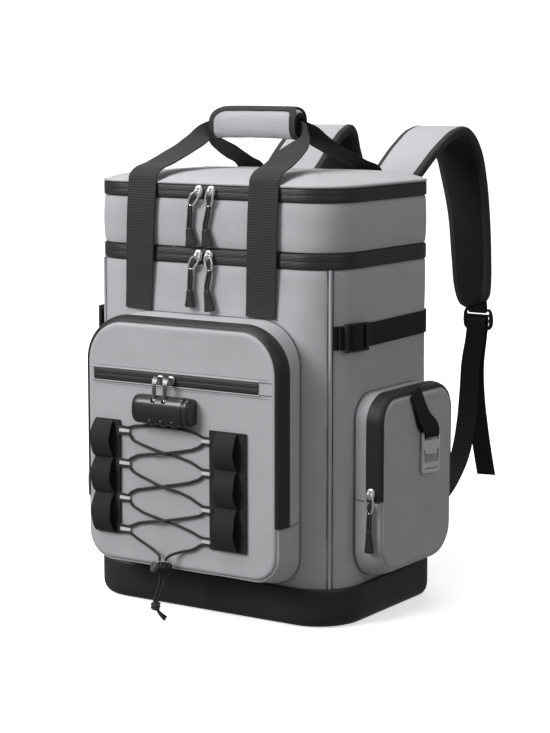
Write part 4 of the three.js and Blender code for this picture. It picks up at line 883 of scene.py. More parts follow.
for side, word in ((1, "right"), (-1, "left")):
    strap, q, u, out, p = pad(side, word)
    loop = make(f"strap_end_loop_{word}", [ribbon_data([(side * LOCK_X, y, z, 22, 1, 0, 0) for y, z in LOOP], 1.5, step=1.5, n=6)], ["web_dark"], sharp=50)
    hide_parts(f"shoulder_pad_{word}")
    for e in (-1, 1):
        for k_off, key in ((BIND_W - 1.2, "thread_dark"),):
            line = q + u * ((p[:, 3] / 2 - k_off) * e)[:, None] + out * 0.15
            stitch(key, line[4:], out[4:], pitch=3.8)
    web = make(f"shoulder_webbing_{word}", [ribbon_data(put([(x, y, z, 25, side, 0, 0) for x, y, z in WEB], side), WEB_T, step=2.5, n=8)], ["web_dark"], sharp=50)
    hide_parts(f"shoulder_web_{word}")
    # Ladder adjuster: rounded bars between two side rails, bowed outwards.
    cx = side * LOCK_X
    rail = lambda e: tube_data([(cx + e * 14.2, LOCK_Y, LOCK_Z + 11.4, 1.5), (cx + e * 16.0, LOCK_Y + 0.6, LOCK_Z + 9, 2.0), (cx + e * 17.0, LOCK_Y + 1.4, LOCK_Z + 3, 2.5),
                                (cx + e * 17.0, LOCK_Y + 1.8, LOCK_Z - 4, 2.7), (cx + e * 16.0, LOCK_Y + 1.6, LOCK_Z - 9.6, 2.3), (cx + e * 13.5, LOCK_Y + 1.2, LOCK_Z - 12.4, 1.7)], 2.2, 14, step=1.2)
    parts = [rail(e) for e in (-1, 1)]
    for z, h in ((10.4, 1.6), (4.0, 1.4), (-2.5, 1.6), (-10.2, 2.0)):
        parts.append(rounded_box_data((cx, LOCK_Y + (0.8 if z < 0 else 0), LOCK_Z + z), (15.8, 1.95, h), 1.0))
    parts.append(rounded_box_data((cx, LOCK_Y + 2.4, LOCK_Z - 12.6), (8.5, 2.2, 2.4), 1.3))
    parts.append(rounded_box_data((cx, LOCK_Y + 0.4, LOCK_Z + 0.8), (14.0, 0.9, 3.6), 0.5))
    ob = make(f"ladder_adjuster_{word}", parts, ["buckle"], sharp=60)
    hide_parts(f"strap_adjuster_{word}")

# ------------------------------------------------------------- side straps
for side, word in ((1, "right"), (-1, "left")):
    base = plan(GAP + 0.8)
    nf = 22
    keep = [k for k in range(len(base)) if (k >= 12 and k <= nf + 18 + 12 + 8)]
    strap_z = lambda y: 301.6 + 1.8 * min(1, max(0, (y + 20) / 120))
    rows = [(side * base[k][0], base[k][1], strap_z(base[k][1]), 24.6, 0, 0, 1) for k in keep]
    ob = make(f"side_webbing_{word}", [ribbon_data(rows, 1.6, step=3.0, n=8)], ["web_dark"], sharp=50)
    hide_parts(f"side_strap_{word}")
    a = math.radians(-12)
    n = np.array([math.cos(a), math.sin(a), 0.0])
    t = np.array([-math.sin(a), math.cos(a), 0.0])
    c = np.array([PIPE_X, PIPE_Y, 301.8]) + n * (R_FRONT + 2.6 + 2.2)
    flip = np.array([side, 1, 1.0])
    basis = [n * flip, t * flip, np.array([0, 0, 1.0])]
    at = lambda o, k, z: (c + n * o + t * k + np.array([0, 0, z])) * flip
    parts = [rounded_box_data(at(0, 0, e * 13.4), (2.2, 17.0, 1.3), 1.0, basis) for e in (-1, 1)]
    for k, w in ((-14.6, 2.4), (0.0, 4.2), (14.6, 2.4)):
        parts.append(rounded_box_data(at(0, k, 0), (2.1, w, 13.2), 1.2, basis))
    ob = make(f"slide_buckle_{word}", parts, ["buckle"], sharp=60)
    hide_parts(f"side_buckle_{word}")
    rows = [(*at(o, k, 0), 23.6, 0, 0, 1) for o, k in ((-3.6, -22), (-3.2, -13.5), (-0.6, -9.0), (2.3, -5.6), (3.1, 0), (2.3, 5.6), (-0.6, 9.0), (-3.2, 13.5), (-3.6, 22))]
    ob = make(f"buckle_webbing_{word}", [ribbon_data(rows, 1.4, step=1.5, n=6)], ["web_dark"], sharp=50)


# ----------------------------------------------------------------- pockets
def outline(row, off=0.0, arcs=14):
    """Rows of u, z and the outward way, from the bottom right corner on."""
    _, u0, u1, z0, z1, rt, rb = row
    out = []

    def arc(cu, cz, r, a0, a1):
        for i in range(arcs + 1):
            a = math.radians(a0 + (a1 - a0) * i / arcs)
            out.append((cu + r * math.cos(a), cz + r * math.sin(a), math.cos(a), math.sin(a)))

    def line(p, q, n, nu, nz):
        for i in range(1, n):
            t = i / n
            out.append((p[0] + (q[0] - p[0]) * t, p[1] + (q[1] - p[1]) * t, nu, nz))

    arc(u1 - rb, z0 + rb, rb + off, -90, 0)
    line((u1 + off, z0 + rb), (u1 + off, z1 - rt), 22, 1, 0)
    arc(u1 - rt, z1 - rt, rt + off, 0, 90)
    line((u1 - rt, z1 + off), (u0 + rt, z1 + off), 20, 0, 1)
    arc(u0 + rt, z1 - rt, rt + off, 90, 180)
    line((u0 - off, z1 - rt), (u0 - off, z0 + rb), 22, -1, 0)
    arc(u0 + rb, z0 + rb, rb + off, 180, 270)
    line((u0 + rb, z0 - off), (u1 - rb, z0 - off), 20, 0, -1)
    return np.array(out)


FRONT = [(0.3, -116, 116, 43.5, 317.6, 46, 30), (10, -119, 119, 45, 317.8, 47, 31), (29, -122, 122, 49.5, 316.8, 48, 32),
         (42, -122, 122, 52.5, 315.0, 47, 31), (47.5, -120.6, 120.6, 54.5, 312.0, 45, 29), (50.3, -117, 117, 58, 308, 41, 25)]
SIDE = [(0.3, -62, 79, 48, 241, 27, 33), (8, -65, 81, 48.5, 242, 28, 34), (17, -67, 83, 50, 242.5, 29, 35),
        (28, -67, 83, 53.5, 241.5, 29, 34), (33.5, -65.8, 81.8, 57, 239, 27, 32), (36, -62.5, 78.5, 61, 235.5, 23, 28)]
on_front = lambda d, u, z: np.array([u, FRONT_Y - d, z])
on_side = lambda d, u, z: np.array([SIDE_X + d, u, z])


def row_at(rows, d):
    r = np.array(rows, float)
    ds = r[:, 0]
    k = int(np.clip(np.searchsorted(ds, d) - 1, 0, len(ds) - 2))
    a, b, c, e = r[max(k - 1, 0)], r[k], r[k + 1], r[min(k + 2, len(r) - 1)]
    h = c[0] - b[0]
    t = (d - b[0]) / h
    m0 = (c - a) / max(c[0] - a[0], 1e-6) * h
    m1 = (e - b) / max(e[0] - b[0], 1e-6) * h
    v = (2 * t**3 - 3 * t**2 + 1) * b + (t**3 - 2 * t**2 + t) * m0 + (-2 * t**3 + 3 * t**2) * c + (t**3 - t**2) * m1
    v[0] = d
    return v


def pocket(name, rows, place, deep, face_d, sag, seed, replaces):
    """Gusset, rolled seam round the face, and a face that sags a little."""
    ds = list(np.linspace(rows[0][0], rows[3][0], 9)) + list(np.linspace(rows[3][0], rows[4][0], 4)[1:])
    rings = []
    for d in ds:
        r = row_at(rows, d)
        o = outline(r)
        ring = []
        for u, z, nu, nz in o:
            e = 0.45 * wobble(u, d * 2, z, 34, seed) - 0.25
            if d < rows[0][0] + 1:
                e = 0
            ring.append(place(d, u + nu * e, z + nz * e))
        rings.append(ring)
    edge = rows[4]
    deepest = rows[-1][0]
    for dd, inset in ((0.15, 0.7), (-0.5, 1.5), (-0.5, 2.1), (0.9, 2.4), (1.9, 3.1), (2.5, 4.3), (2.8, 6.2)):
        o = outline(edge, -inset)
        k = (deepest - edge[0]) / 2.8
        rings.append([place(edge[0] + dd * k, u, z) for u, z, _, _ in o])
    cu, cz = (edge[1] + edge[2]) / 2, (edge[3] + edge[4]) / 2
    inner = outline(edge, -6.2)
    face_from = len(rings) - 1
    for f in (0.97, 0.93, 0.87, 0.8, 0.72, 0.63, 0.54, 0.45, 0.36, 0.27, 0.18, 0.1, 0.04, 0.01):
        ring = []
        for u, z, _, _ in inner:
            a, b = cu + (u - cu) * f, cz + (z - cz) * f
            e = 0.5 * sag * (1 - f) ** 0.8 + 0.8 * min(1, (1 - f) * 6) * (wobble(a, 0, b, 70, seed + 5) + 0.4 * wobble(a, 7, b, 26, seed))
            ring.append(place(face_d - 0.02 - 0.25 - max(-0.25, e), a, b))
        rings.append(ring)
    # back of the face, so that the pocket is one closed wall
    back = [[place(face_d - 3, cu + (u - cu) * 0.01, cz + (z - cz) * 0.01) for u, z, _, _ in inner],
            [place(face_d - 3, u, z) for u, z, _, _ in outline(edge, -6.2)]]
    for d in (rows[3][0], rows[2][0], rows[1][0], rows[0][0]):
        back.append([place(d, u, z) for u, z, _, _ in outline(row_at(rows, d), -3)])
    data = loft_data(rings + back, caps=None, loop=True)
    # the small ring in the face's middle is closed by fans on both sides
    n = len(rings[0])
    uvs, at = list(data[2]), 0
    flat = [(p[0] if place is on_front else p[1], p[2]) for p in data[0]]
    for f in data[1]:
        if min(f) >= face_from * n and max(f) < len(rings) * n:
            for k, v in enumerate(f):
                uvs[at + k] = flat[v]
        at += len(f)
    ob = new_mesh(name, data[0], data[1], ["fabric"], data[3], uvs, 60)
    me = ob.data
    bm = bmesh.new()
    bm.from_mesh(me)
    bm.verts.ensure_lookup_table()
    i = len(rings) - 1
    ring_a = [bm.verts[i * n + j] for j in range(n)]
    ring_b = [bm.verts[(i + 1) * n + j] for j in range(n)]
    joined = [f for f in bm.faces if all(v in set(ring_a) | set(ring_b) for v in f.verts)]
    bmesh.ops.delete(bm, geom=joined, context="FACES_ONLY")
    fa, fb = bm.faces.new(ring_a), bm.faces.new(ring_b)
    bmesh.ops.recalc_face_normals(bm, faces=bm.faces)
    for f in (fa, fb):
        f.smooth = True
    bm.to_mesh(me)
    bm.free()
    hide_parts(replaces)
    return ob


pocket("front_pocket_shell", FRONT, on_front, 50.3, -FACE_Y + FRONT_Y, 0.5, 3.0, "front_pocket")
pocket("side_pocket_shell", SIDE, on_side, 36, SIDE_FACE_X - SIDE_X, 0.9, 7.0, "side_pocket")


def zip_path(row, off, end_l, end_r):
    _, u0, u1, z0, z1, rt, rb = row
    pts = [(u0 - off, z, -1.0, 0.0) for z in np.linspace(end_l, z1 - rt, 24)[:-1]]
    for i in range(19):
        a = math.radians(180 - 90 * i / 18)
        pts.append((u0 + rt + (rt + off) * math.cos(a), z1 - rt + (rt + off) * math.sin(a), math.cos(a), math.sin(a)))
    pts += [(u, z1 + off, 0.0, 1.0) for u in np.linspace(u0 + rt, u1 - rt, 24)[1:-1]]
    for i in range(19):
        a = math.radians(90 - 90 * i / 18)
        pts.append((u1 - rt + (rt + off) * math.cos(a), z1 - rt + (rt + off) * math.sin(a), math.cos(a), math.sin(a)))
    pts += [(u1 + off, z, 1.0, 0.0) for z in np.linspace(z1 - rt, end_r, 24)[1:]]
    return pts


def pocket_zip(name, rows, place, d0, d1, end_l, end_r, replaces, top_from, top_to):
    prof = [(0.0, 0.25), (0.02, 0.8), (0.1, 1.05), (0.4, 1.05), (0.47, 0.98), (0.493, 0.7), (0.507, 0.7), (0.53, 0.98), (0.6, 1.05),
            (0.84, 1.0), (0.93, 0.9), (0.98, 0.7), (1.0, 0.1)]
    top, low = [], []
    def along(t, off):
        # Over the top of the pocket the tape is folded narrower than down its sides.
        a, b = row_at(rows, d0 + (d1 - d0) * t), row_at(rows, top_from + (top_to - top_from) * t)
        return [place(a[0], *p[:2]) * (1 - p[3] ** 2) + place(b[0], *q[:2]) * p[3] ** 2
                for p, q in zip(zip_path(a, off, end_l, end_r), zip_path(b, off, end_l, end_r))]

    for t, h in prof:
        top.append(along(t, 0.2 + h))
    for t in (0.95, 0.5, 0.05):
        low.append(along(t, -0.3))
    rings = np.array(top + low).transpose(1, 0, 2)
    ob = loft(name, rings, ["zip_up"], caps="fan", sharp=50)
    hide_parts(replaces)


pocket_zip("front_zip_tape", FRONT, on_front, 29.5, 50.0, 122, 113, "front_pocket_zip", 35.5, 48.4)
pocket_zip("side_zip_tape", SIDE, on_side, 17, 35.7, 134, 134, "side_pocket_zip", 19.5, 34.6)

# Seam lines of painted shadow across each gusset where the zip ends, and round the pocket's foot.
for rows, place, ends, back_d in ((FRONT, on_front, (122, 113), 10), (SIDE, on_side, (134, 134), 8)):
    r2, r4 = rows[0], rows[4]
    for s, z in ((-1, ends[0]), (1, ends[1])):
        pts = []
        for d in np.linspace(rows[0][0], rows[4][0], 8):
            r = row_at(rows, d)
            u = r[1] if s < 0 else r[2]
            pts.append(place(d, u + s * 0.05, z - 1.2))
        seam(pts, 0.5)
    o = outline(row_at(rows, rows[0][0] + 1.2))
    seam([place(rows[0][0] + 0.8, u + nu * 0.2, z + nz * 0.2) for u, z, nu, nz in o[::2]] + [place(rows[0][0] + 0.8, *o[0][:2])], 0.55)

# ------------------------------------------------------- zip across the face
face = lambda d: FACE_Y - d
FZ = {"x0": -110.0, "x1": 98.0, "z0": 248.4, "z1": 260.8}
h = FZ["z1"] - FZ["z0"]
prof = [(0.0, 0.2), (0.05, 0.8), (0.12, 1.0), (0.4, 1.0), (0.47, 0.94), (0.493, 0.75), (0.507, 0.75), (0.53, 0.94), (0.6, 1.0), (0.88, 1.0), (0.95, 0.8), (1.0, 0.2)]
rings = []
for x in np.linspace(FZ["x0"], FZ["x1"], 30):
    rings.append([(x, face(d), FZ["z0"] + t * h) for t, d in prof] + [(x, face(-0.8), FZ["z1"] - 0.5), (x, face(-0.8), FZ["z0"] + 0.5)])
ob = loft("face_zip_tape", rings, ["zip_up"], sharp=50)
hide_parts("face_zip")
parts = []
for z, s in ((FZ["z0"] - 0.9, -1), (FZ["z1"] + 0.9, 1)):  # welt lips either side
    parts.append(tube_data([(x, face(0.15), z) for x in np.linspace(FZ["x0"] - 3, FZ["x1"] + 2, 40)], 0.75, 10))
ob = make("face_zip_welts", parts, ["fabric"])
# Seam lines of painted shadow along the welts and where the tape runs on.
for z in (FZ["z0"] - 0.2, FZ["z1"] + 0.2):
    seam([(x, face(-0.1), z) for x in (FZ["x1"], 103, 108, 114.5)], 0.4)
    seam([(x, face(0.25), z) for x in (FZ["x0"], 0, FZ["x1"])], 0.3, step=20)
stitch("thread", [(x, face(0.1), FZ["z1"] + 3.4) for x in (-110, 0, 112)], (0, -1, 0), r=0.26)
stitch("thread", [(x, face(0.1), FZ["z0"] - 3.4) for x in (-110, 0, 112)], (0, -1, 0), r=0.26)

# ---------------------------------------------------------- combination lock
CASE_X = (-51.5, 12.2)
CASE_Z = 223.5
CASE = [(0, -14), (6, -14.9), (12, -14.3), (15.5, -11), (17.2, -4.5), (17.2, 2.5), (15.5, 10), (12, 14), (7, 15.1), (0, 14)]
dense = curve_through([(d, hh, 0) for d, hh in CASE], 1.6)[:, :2]
case_section = list(dense) + [(0, y) for y in np.linspace(12, -12, 6)]


def case_ring(x, s, lean=0.0):
    return [(x, face(GAP + d * (0.35 + 0.65 * s)), CASE_Z + hh * s) for d, hh in case_section]


ends = [(1.6, 0.72), (1.75, 0.8), (2.2, 0.86), (3.2, 0.925), (4.6, 0.965), (6.2, 0.985), (8.5, 1.0)]
rings = [case_ring(CASE_X[0] + x, s) for x, s in ends] + [case_ring(x, 1) for x in np.linspace(CASE_X[0] + 12, 13.4, 12)]
rings += [case_ring(13.9, 0.985), case_ring(13.9, 0.95), case_ring(12.1, 0.95)]
case = loft("lock_body", rings, ["lock"], sharp=45)
DIALS, DIAL_Y, DIAL_Z = (-27.0, -12.8, 1.4), face(GAP + 8.8), 213.4


def cutter(data):
    v, f, uv, fm = data
    me = bpy.data.meshes.new("cutter")
    me.from_pydata([tuple(np.asarray(p) * MM) for p in v], [], [tuple(q) for q in f])
    ob = bpy.data.objects.new("cutter", me)
    bpy.context.scene.collection.objects.link(ob)
    return ob


def carve(ob, cutters):
    for c in cutters:
        m = ob.modifiers.new("cut", "BOOLEAN")
        m.operation, m.solver, m.object = "DIFFERENCE", "EXACT", c
    dg = bpy.context.evaluated_depsgraph_get()
    me = bpy.data.meshes.new_from_object(ob.evaluated_get(dg), depsgraph=dg)
    ob.modifiers.clear()
    ob.data = me
    for c in cutters:
        bpy.data.objects.remove(c)
    me.shade_smooth()
    me.set_sharp_from_angle(angle=math.radians(40))
    return ob


cyl = lambda x0, x1, r, n=32: tube_data([(x, DIAL_Y, DIAL_Z) for x in (x0, x1)], r, n)
cuts = []
for x in DIALS:
    cuts.append(cutter(cyl(x - 3.7, x + 3.7, 7.1)))
    cuts.append(cutter(rounded_box_data((x, DIAL_Y, DIAL_Z - 6), (3.7, 7.1, 6), 0.3, seg=1)))
TABS = (-21.5, -8.0)
for x in TABS:
    cuts.append(cutter(rounded_box_data((x - 0.6, face(GAP + 12.9), CASE_Z + 14.4), (2.9, 3.2, 6.6), 0.5, seg=1)))
carve(case, cuts)
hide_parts("lock_case")
proud = lambda x, s, k: [(a, b - k, c) for a, b, c in case_ring(x, s)]
rings = [proud(14.0, 0.9, 0.4), proud(15.7, 0.9, 0.4), case_ring(15.75, 0.965), case_ring(16.1, 0.985), case_ring(18.2, 0.985), case_ring(19.6, 0.96), case_ring(20.9, 0.91), case_ring(21.9, 0.83), case_ring(22.4, 0.7)]
stem = rounded_box_data((15.0, face(GAP + 8), CASE_Z + 0.5), (0.9, 4.0, 3.5), 0.4)
button = make("lock_end_button", [loft_data(rings), stem], ["lock"], body="lock_slide", sharp=50)
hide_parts("lock_button")
parts = []
for x in DIALS:  # white index marks under the dials' windows
    parts.append(rounded_box_data((x + 0.2, face(GAP + 15.75), CASE_Z - 9.4), (0.85, 0.35, 0.85), 0.25))
marks = make("lock_index_marks", parts, ["mark"])
for k, x in enumerate(DIALS):  # wheels with a milled rim
    prof = [(-3.2, 5.6), (-2.9, 6.3), (-2.2, 6.6), (2.2, 6.6), (2.9, 6.3), (3.2, 5.6)]
    rings = []
    for dx, r in prof:
        ring = []
        for j in range(80):
            a = 2 * math.pi * j / 80
            rr = r - (0.22 if (j % 4) < 2 and abs(dx) < 3.0 else 0.0)
            ring.append((x + dx, DIAL_Y + rr * math.cos(a), DIAL_Z + rr * math.sin(a)))
        rings.append(ring)
    wheel = loft(f"dial_wheel_{k + 1}", rings, ["lock"], body=f"dial_{k + 1}", sharp=30)
    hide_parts(f"lock_dial_{k + 1}")
axle = make("dial_axle", [cyl(DIALS[0] - 5, DIALS[2] + 5, 1.4, 16)], ["chrome"])

# ------------------------------------------------------------- zip sliders


def to_world(data, at, out, lean=0.0, pivot=(0, 0, 0)):
    """Local x across, y out of the cloth, z up; leaned about y through pivot."""
    out = np.array(out, float)
    up = np.array([0, 0, 1.0])
    across = np.cross(out, up)
    b = np.array([across, out, up])
    c, s = math.cos(lean), math.sin(lean)
    res = []
    for p in data[0]:
        q = np.asarray(p, float) - np.array(pivot, float)
        q = np.array([c * q[0] + s * q[2], q[1], -s * q[0] + c * q[2]]) + np.array(pivot, float)
        res.append(np.array(at) + q @ b)
    faces, uvs = data[1], data[2]
    if np.linalg.det(b) < 0:
        o, at_, tt = [], 0, []
        for f in faces:
            o.append(tuple(reversed(f)))
            tt += list(uvs[at_:at_ + len(f)])[::-1]
            at_ += len(f)
        faces, uvs = o, tt
    return res, faces, uvs, data[3]


def lens(outline_pts, y0, y1, bulge=0.25):
    """Pillow between two depths with the given outline in x and z."""
    o = curve_through([(*p, 0) for p in outline_pts + [outline_pts[0]]], 0.9)[:-1, :2]
    c = o.mean(0)
    rings = []
    for t, k in ((0.0, 0.84), (0.12, 0.94), (0.35, 1.0), (0.65, 1.0), (0.88, 0.94), (1.0, 0.82), (1.0 + bulge, 0.5), (1.0 + bulge * 1.3, 0.15)):
        rings.append([(c[0] + (x - c[0]) * k, y0 + (y1 - y0) * t, c[1] + (z - c[1]) * k) for x, z in o])
    return loft_data(rings)


def slider_parts():
    w, t = 4.3, 5.75
    shield = [(-w * 0.55, -t), (0, -t * 1.02), (w * 0.55, -t), (w * 0.95, -t * 0.4), (w, t * 0.15), (w * 0.72, t * 0.82), (w * 0.25, t),
              (-w * 0.25, t), (-w * 0.72, t * 0.82), (-w, t * 0.15), (-w * 0.95, -t * 0.4)]
    lower = lens([(x * 0.98, z * 0.98) for x, z in shield], 0.0, 1.2, 0.05)
    upper = lens(shield, 1.7, 3.2, 0.18)
    post = rounded_box_data((0, 1.5, 3.2), (1.1, 1.2, 1.8), 0.3)
    bridge = tube_data([(0, 2.9, 3.4, 1.35), (0, 5.0, 3.0, 1.2), (0, 6.4, 1.6, 1.15), (0, 6.75, 0.2, 1.15), (0, 6.3, -1.4, 1.15), (0, 4.9, -2.7, 1.2), (0, 2.9, -3.2, 1.35)], 1.2, 12, step=0.8)
    return [lower, upper, post, bridge]


def wire(points, r=0.85, sides=12, step=0.8):
    return tube_data(points, r, sides, step=step)


def frame_parts(long, lean):
    """Open puller: a bar across the slider's bridge, then two bowed legs and a
    lower yoke that lean to one side, long overall."""
    k = long / 16.2

    def at(x, y, z, r, share):
        a = lean * share
        return (x * math.cos(a) - z * math.sin(a), y, x * math.sin(a) + z * math.cos(a), r)

    bar = wire([(-2.9, 0, 0), (0, 0, 0), (2.9, 0, 0)], 0.8)
    legs = [wire([at(s * 2.9, 0, 0.0, 0.85, 0), at(s * 3.6, 0.05, -2.2 * k, 1.0, 0.3), at(s * 4.3, 0.05, -6.2 * k, 1.2, 0.95), at(s * 4.2, 0, -10.0 * k, 1.25, 1), at(s * 3.5, 0, -13.4 * k, 1.2, 1),
                  at(s * 2.3, 0, -15.6 * k, 1.05, 1), at(0, 0, -16.2 * k, 1.0, 1)]) for s in (-1, 1)]
    return [bar, *legs]


def grip_part(long):
    """Flared moulded tab with flutes down both faces, from z 0 down."""
    widths = [(0.0, 3.2, 1.5), (0.04, 3.9, 1.9), (0.12, 4.2, 2.3), (0.3, 4.7, 2.5), (0.55, 5.5, 2.55), (0.8, 6.7, 2.5), (0.92, 7.2, 2.4), (0.97, 7.0, 2.1), (0.99, 6.4, 1.6), (1.0, 5.2, 1.0)]
    rows = curve_through([(0, 0, -t * long, w, d) for t, w, d in widths], 0.8)
    rings = []
    n = 56
    for r in rows:
        z, w, d = r[2], r[3], r[4]
        t = -z / long
        ring = []
        for j in range(n):
            a = 2 * math.pi * j / n
            x = math.copysign(abs(math.cos(a)) ** 0.6, math.cos(a)) * w
            y = math.copysign(abs(math.sin(a)) ** 0.7, math.sin(a)) * d
            if 0.1 < t < 0.97 and abs(math.sin(a)) > 0.3:
                y -= math.copysign(0.45 * (0.5 + 0.5 * math.cos(2 * math.pi * x / (0.42 * w))), y)
            ring.append((x, y, z))
        rings.append(ring)
    return loft_data(rings)


TAPE_Y = FRONT_Y - 0.8
SIDE_Y = -67 - GAP - 0.08 - 1.0
# Slider seat, then the yoke, the grip's top and its foot from the pivot.
PULLS = [("lid_left", -7.5, TAPE_Y, 447, (-9.0, -14.2), (-10.8, -39.5), (-7.6, -58.0), 1.0),
         ("lid_right", 8.2, TAPE_Y, 447, (-1.6, -14.9), (-6.2, -40.0), (-3.0, -58.0), 1.0),
         ("main_left", -8.5, TAPE_Y, 380.2, (-8.2, -14.0), (-9.3, -36.5), (-9.0, -55.5), 0.88),
         ("main_right", 5.0, TAPE_Y, 380.2, (2.0, -14.9), (-1.2, -36.5), (2.9, -58.5), 0.9),
         ("side", 181.5, SIDE_Y, 142, (0.2, -19.5), (-0.3, -38.5), (0.3, -62.0), 0.72)]


def turned_about(data, at, a):
    """Local piece swung by a about the way out of the cloth, then set down at."""
    c, s_ = math.cos(a), math.sin(a)
    return [(at[0] + c * q[0] - s_ * q[2], at[1] + q[1], at[2] + s_ * q[0] + c * q[2]) for q in (np.asarray(p, float) for p in data[0])], *data[1:]


for name, x, y, z, yoke, top, foot, flare in PULLS:
    ob = make(f"zip_slider_{name}", [to_world(d, (x, y - GAP, z), (0, -1, 0)) for d in slider_parts()], ["chrome"], sharp=60)
    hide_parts(f"slider_{name}")
    pv = np.array([x, y - GAP - 3.2 - 1.2, z + 0.6])
    body = f"zip_pull_{name}"
    lean = math.atan2(yoke[0], -yoke[1])
    ob = make(f"puller_{name}", [turned_about(d, pv, 0.0) for d in frame_parts(math.hypot(*yoke) + 1.0, lean)], ["chrome"], body=body, sharp=60)
    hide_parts(f"pull_{name}")
    # Cord looped over the yoke: two strands side by side down to the grip.
    u0, u1, u2 = np.array([0.0, 0.0]), np.array(yoke, float), np.array(top, float)
    d1 = unit(u1)
    way = [u1 - d1 * 7.5, u1 - d1 * 3.0, u1 + np.array([0, -1.5]) * 1.0, u1 * 0.55 + u2 * 0.45, u2 + np.array([0, 1.0]), u2 + unit(np.array(foot) - u2) * 3.0]
    strands = []
    for e in (-1, 1):
        pts = []
        for k, q in enumerate(way):
            nxt_, prv = way[min(k + 1, len(way) - 1)], way[max(k - 1, 0)]
            t_ = unit(nxt_ - prv)
            side_ = np.array([-t_[1], t_[0]]) * e * (0.9 if k == 0 else (1.35 if k < 3 else 1.65))
            pts.append((pv[0] + q[0] + side_[0], pv[1] + (0.9 if k < 2 else 0.3) * 0.8, pv[2] + q[1] + side_[1]))
        strands.append(pts)
    loop_top = (pv[0] + way[0][0] - d1[0] * 1.6, pv[1] + 0.6, pv[2] + way[0][1] - d1[1] * 1.6)
    cord_pts = strands[0][::-1] + [loop_top] + strands[1]
    ob = make(f"puller_cord_{name}", [tube_data(cord_pts, 1.5, 12, step=1.0)], ["cord"], body=body)
    g = np.array(foot) - u2
    d = grip_part(float(np.linalg.norm(g)))
    d = ([(p[0] * flare, p[1], p[2]) for p in d[0]], *d[1:])
    at = (pv[0] + u2[0], pv[1], pv[2] + u2[1])
    ob = make(f"puller_grip_{name}", [turned_about(d, at, math.atan2(g[0], -g[1]))], ["rubber"], body=body, sharp=40)
    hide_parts(f"pull_grip_{name}")

# Slider on the pocket's left gusset, with its plain tab hanging.
at = (-122 - 2 * GAP - 0.08 - 1.0, FRONT_Y - 36, 139)
tab = ribbon_data([(0, 5.0, 1.0, 5.6, 1, 0, 0), (0, 5.2, -4, 6.2, 1, 0, 0), (0, 5.0, -12, 6.2, 1, 0, 0), (0, 4.9, -21.5, 5.0, 1, 0, 0)], 1.2, step=1.5, n=4)
ob = make("zip_slider_front_pocket", [to_world(d, at, (-1, 0, 0)) for d in slider_parts() + [tab]], ["chrome"], sharp=60)
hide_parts("slider_front_pocket")

# Sliders of the face zip: flat tabs curve out and down into the lock.
TAB = [(2.0, 255.5), (5.6, 257.6), (9.2, 256.8), (11.6, 252.5), (12.4, 246.5), (12.4, 240), (12.3, 232.5)]
for k, x in enumerate(TABS):
    body = [to_world(([(p[0] * 0.95, p[1], p[2] * 0.8) for p in d[0]], *d[1:]), (x, face(GAP * 2 + 0.8), 254.4), (0, -1, 0)) for d in slider_parts()[:3]]
    w = (6.0, 6.0, 5.6, 5.0, 4.6, 4.2, 3.6)
    rows = [(x - 0.8, face(d + GAP), z, ww, 1, 0, 0) for (d, z), ww in zip(TAB, w)]
    band = ribbon_data(rows, 0.8, step=1.0, n=6, mat=1)
    # A bright tube runs along the tab's left edge only: painted highlight where the key light catches it. The tab's
    # dark face is painted reflection of the lock.
    edge = tube_data([(x - 0.8 - ww / 2, face(d + GAP), z) for (d, z), ww in zip(TAB, w)], 0.62, 10, step=0.8)
    foot = tube_data([(x - 0.8 - 1.8, face(12.4 + GAP), 235.4), (x - 0.8, face(13.4 + GAP), 233.8), (x + 1.0, face(12.4 + GAP), 235.4)], 0.55, 8, step=0.6)
    ob = make(f"face_slider_{k + 1}", body + [band, edge, foot], ["dullchrome", "tab_metal_painted_reflection"], sharp=60)
    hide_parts(f"slider_face_{k + 1}")

# ------------------------------------------------------------ gear panels
PANELS = [("left", -107.6, -75.5, -107.6, -82.6, 85, 207, (206, 165.6, 127.6, 86)), ("right", 38.5, 84.5, 49, 75, 83, 207, (206, 167.8, 128.4, 84))]
PORTS = {"left": (196.7, 161.9, 124.7, 90.7), "right": (195.2, 161.7, 123.0, 90.0)}
for name, x0, x1, s0, s1, z0, z1, necks in PANELS:
    rows = [((x0 + x1) / 2, face(GAP + 1.0), z, x1 - x0, 1, 0, 0) for z in (z0, (z0 + z1) / 2, z1)]
    parts = [ribbon_data(rows, 2.0, step=4, n=10)]
    run = []
    for k in range(3):
        zb, za = necks[k], necks[k + 1]
        for i in range(17):
            t = i / 16
            d = 9.0 * math.sin(math.pi * t) ** 0.72
            run.append((d, zb + (za - zb) * t))
        if k < 2:
            run.append((0.1, za - 0.8))
    rows = [((s0 + s1) / 2, face(GAP + 2.6 + d), z, s1 - s0 + 0.8 * math.sin(z * 0.3), 1, 0, 0) for d, z in run]
    parts.append(ribbon_data(rows, 1.5, step=1.8, n=10, mat=0))
    ob = make(f"gear_loop_panel_{name}", parts, ["loops"], sharp=50)
    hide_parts(f"gear_loops_{name}")
    for zn in necks:
        off = -1.6 if zn == necks[0] else (1.6 if zn == necks[-1] else 0)
        stitch("thread_dark", [(x, face(GAP + 3.5), zn + off) for x in (s0 + 1, (s0 + s1) / 2, s1 - 1)], (0, -1, 0), pitch=2.8, long=2.0)
    edges = [(x0 + 1.6, z0 + 2), (x0 + 1.6, z1 - 2)], [(x1 - 1.6, z0 + 2), (x1 - 1.6, z1 - 2)]
    for (xa, za), (xb, zb) in edges:
        if name == "left" and xa < -90:
            continue
        stitch("thread_dark", [(xa, face(GAP + 2.0), za), (xa, face(GAP + 2.0), (za + zb) / 2), (xb, face(GAP + 2.0), zb)], (0, -1, 0))

# -------------------------------------------------------------- laced cord
CORD_R = 1.5
LOW = face(GAP + CORD_R)
TIP = {-1: -64.5, 1: 31.5}
MOUTH = {-1: -75.5, 1: 38.5}


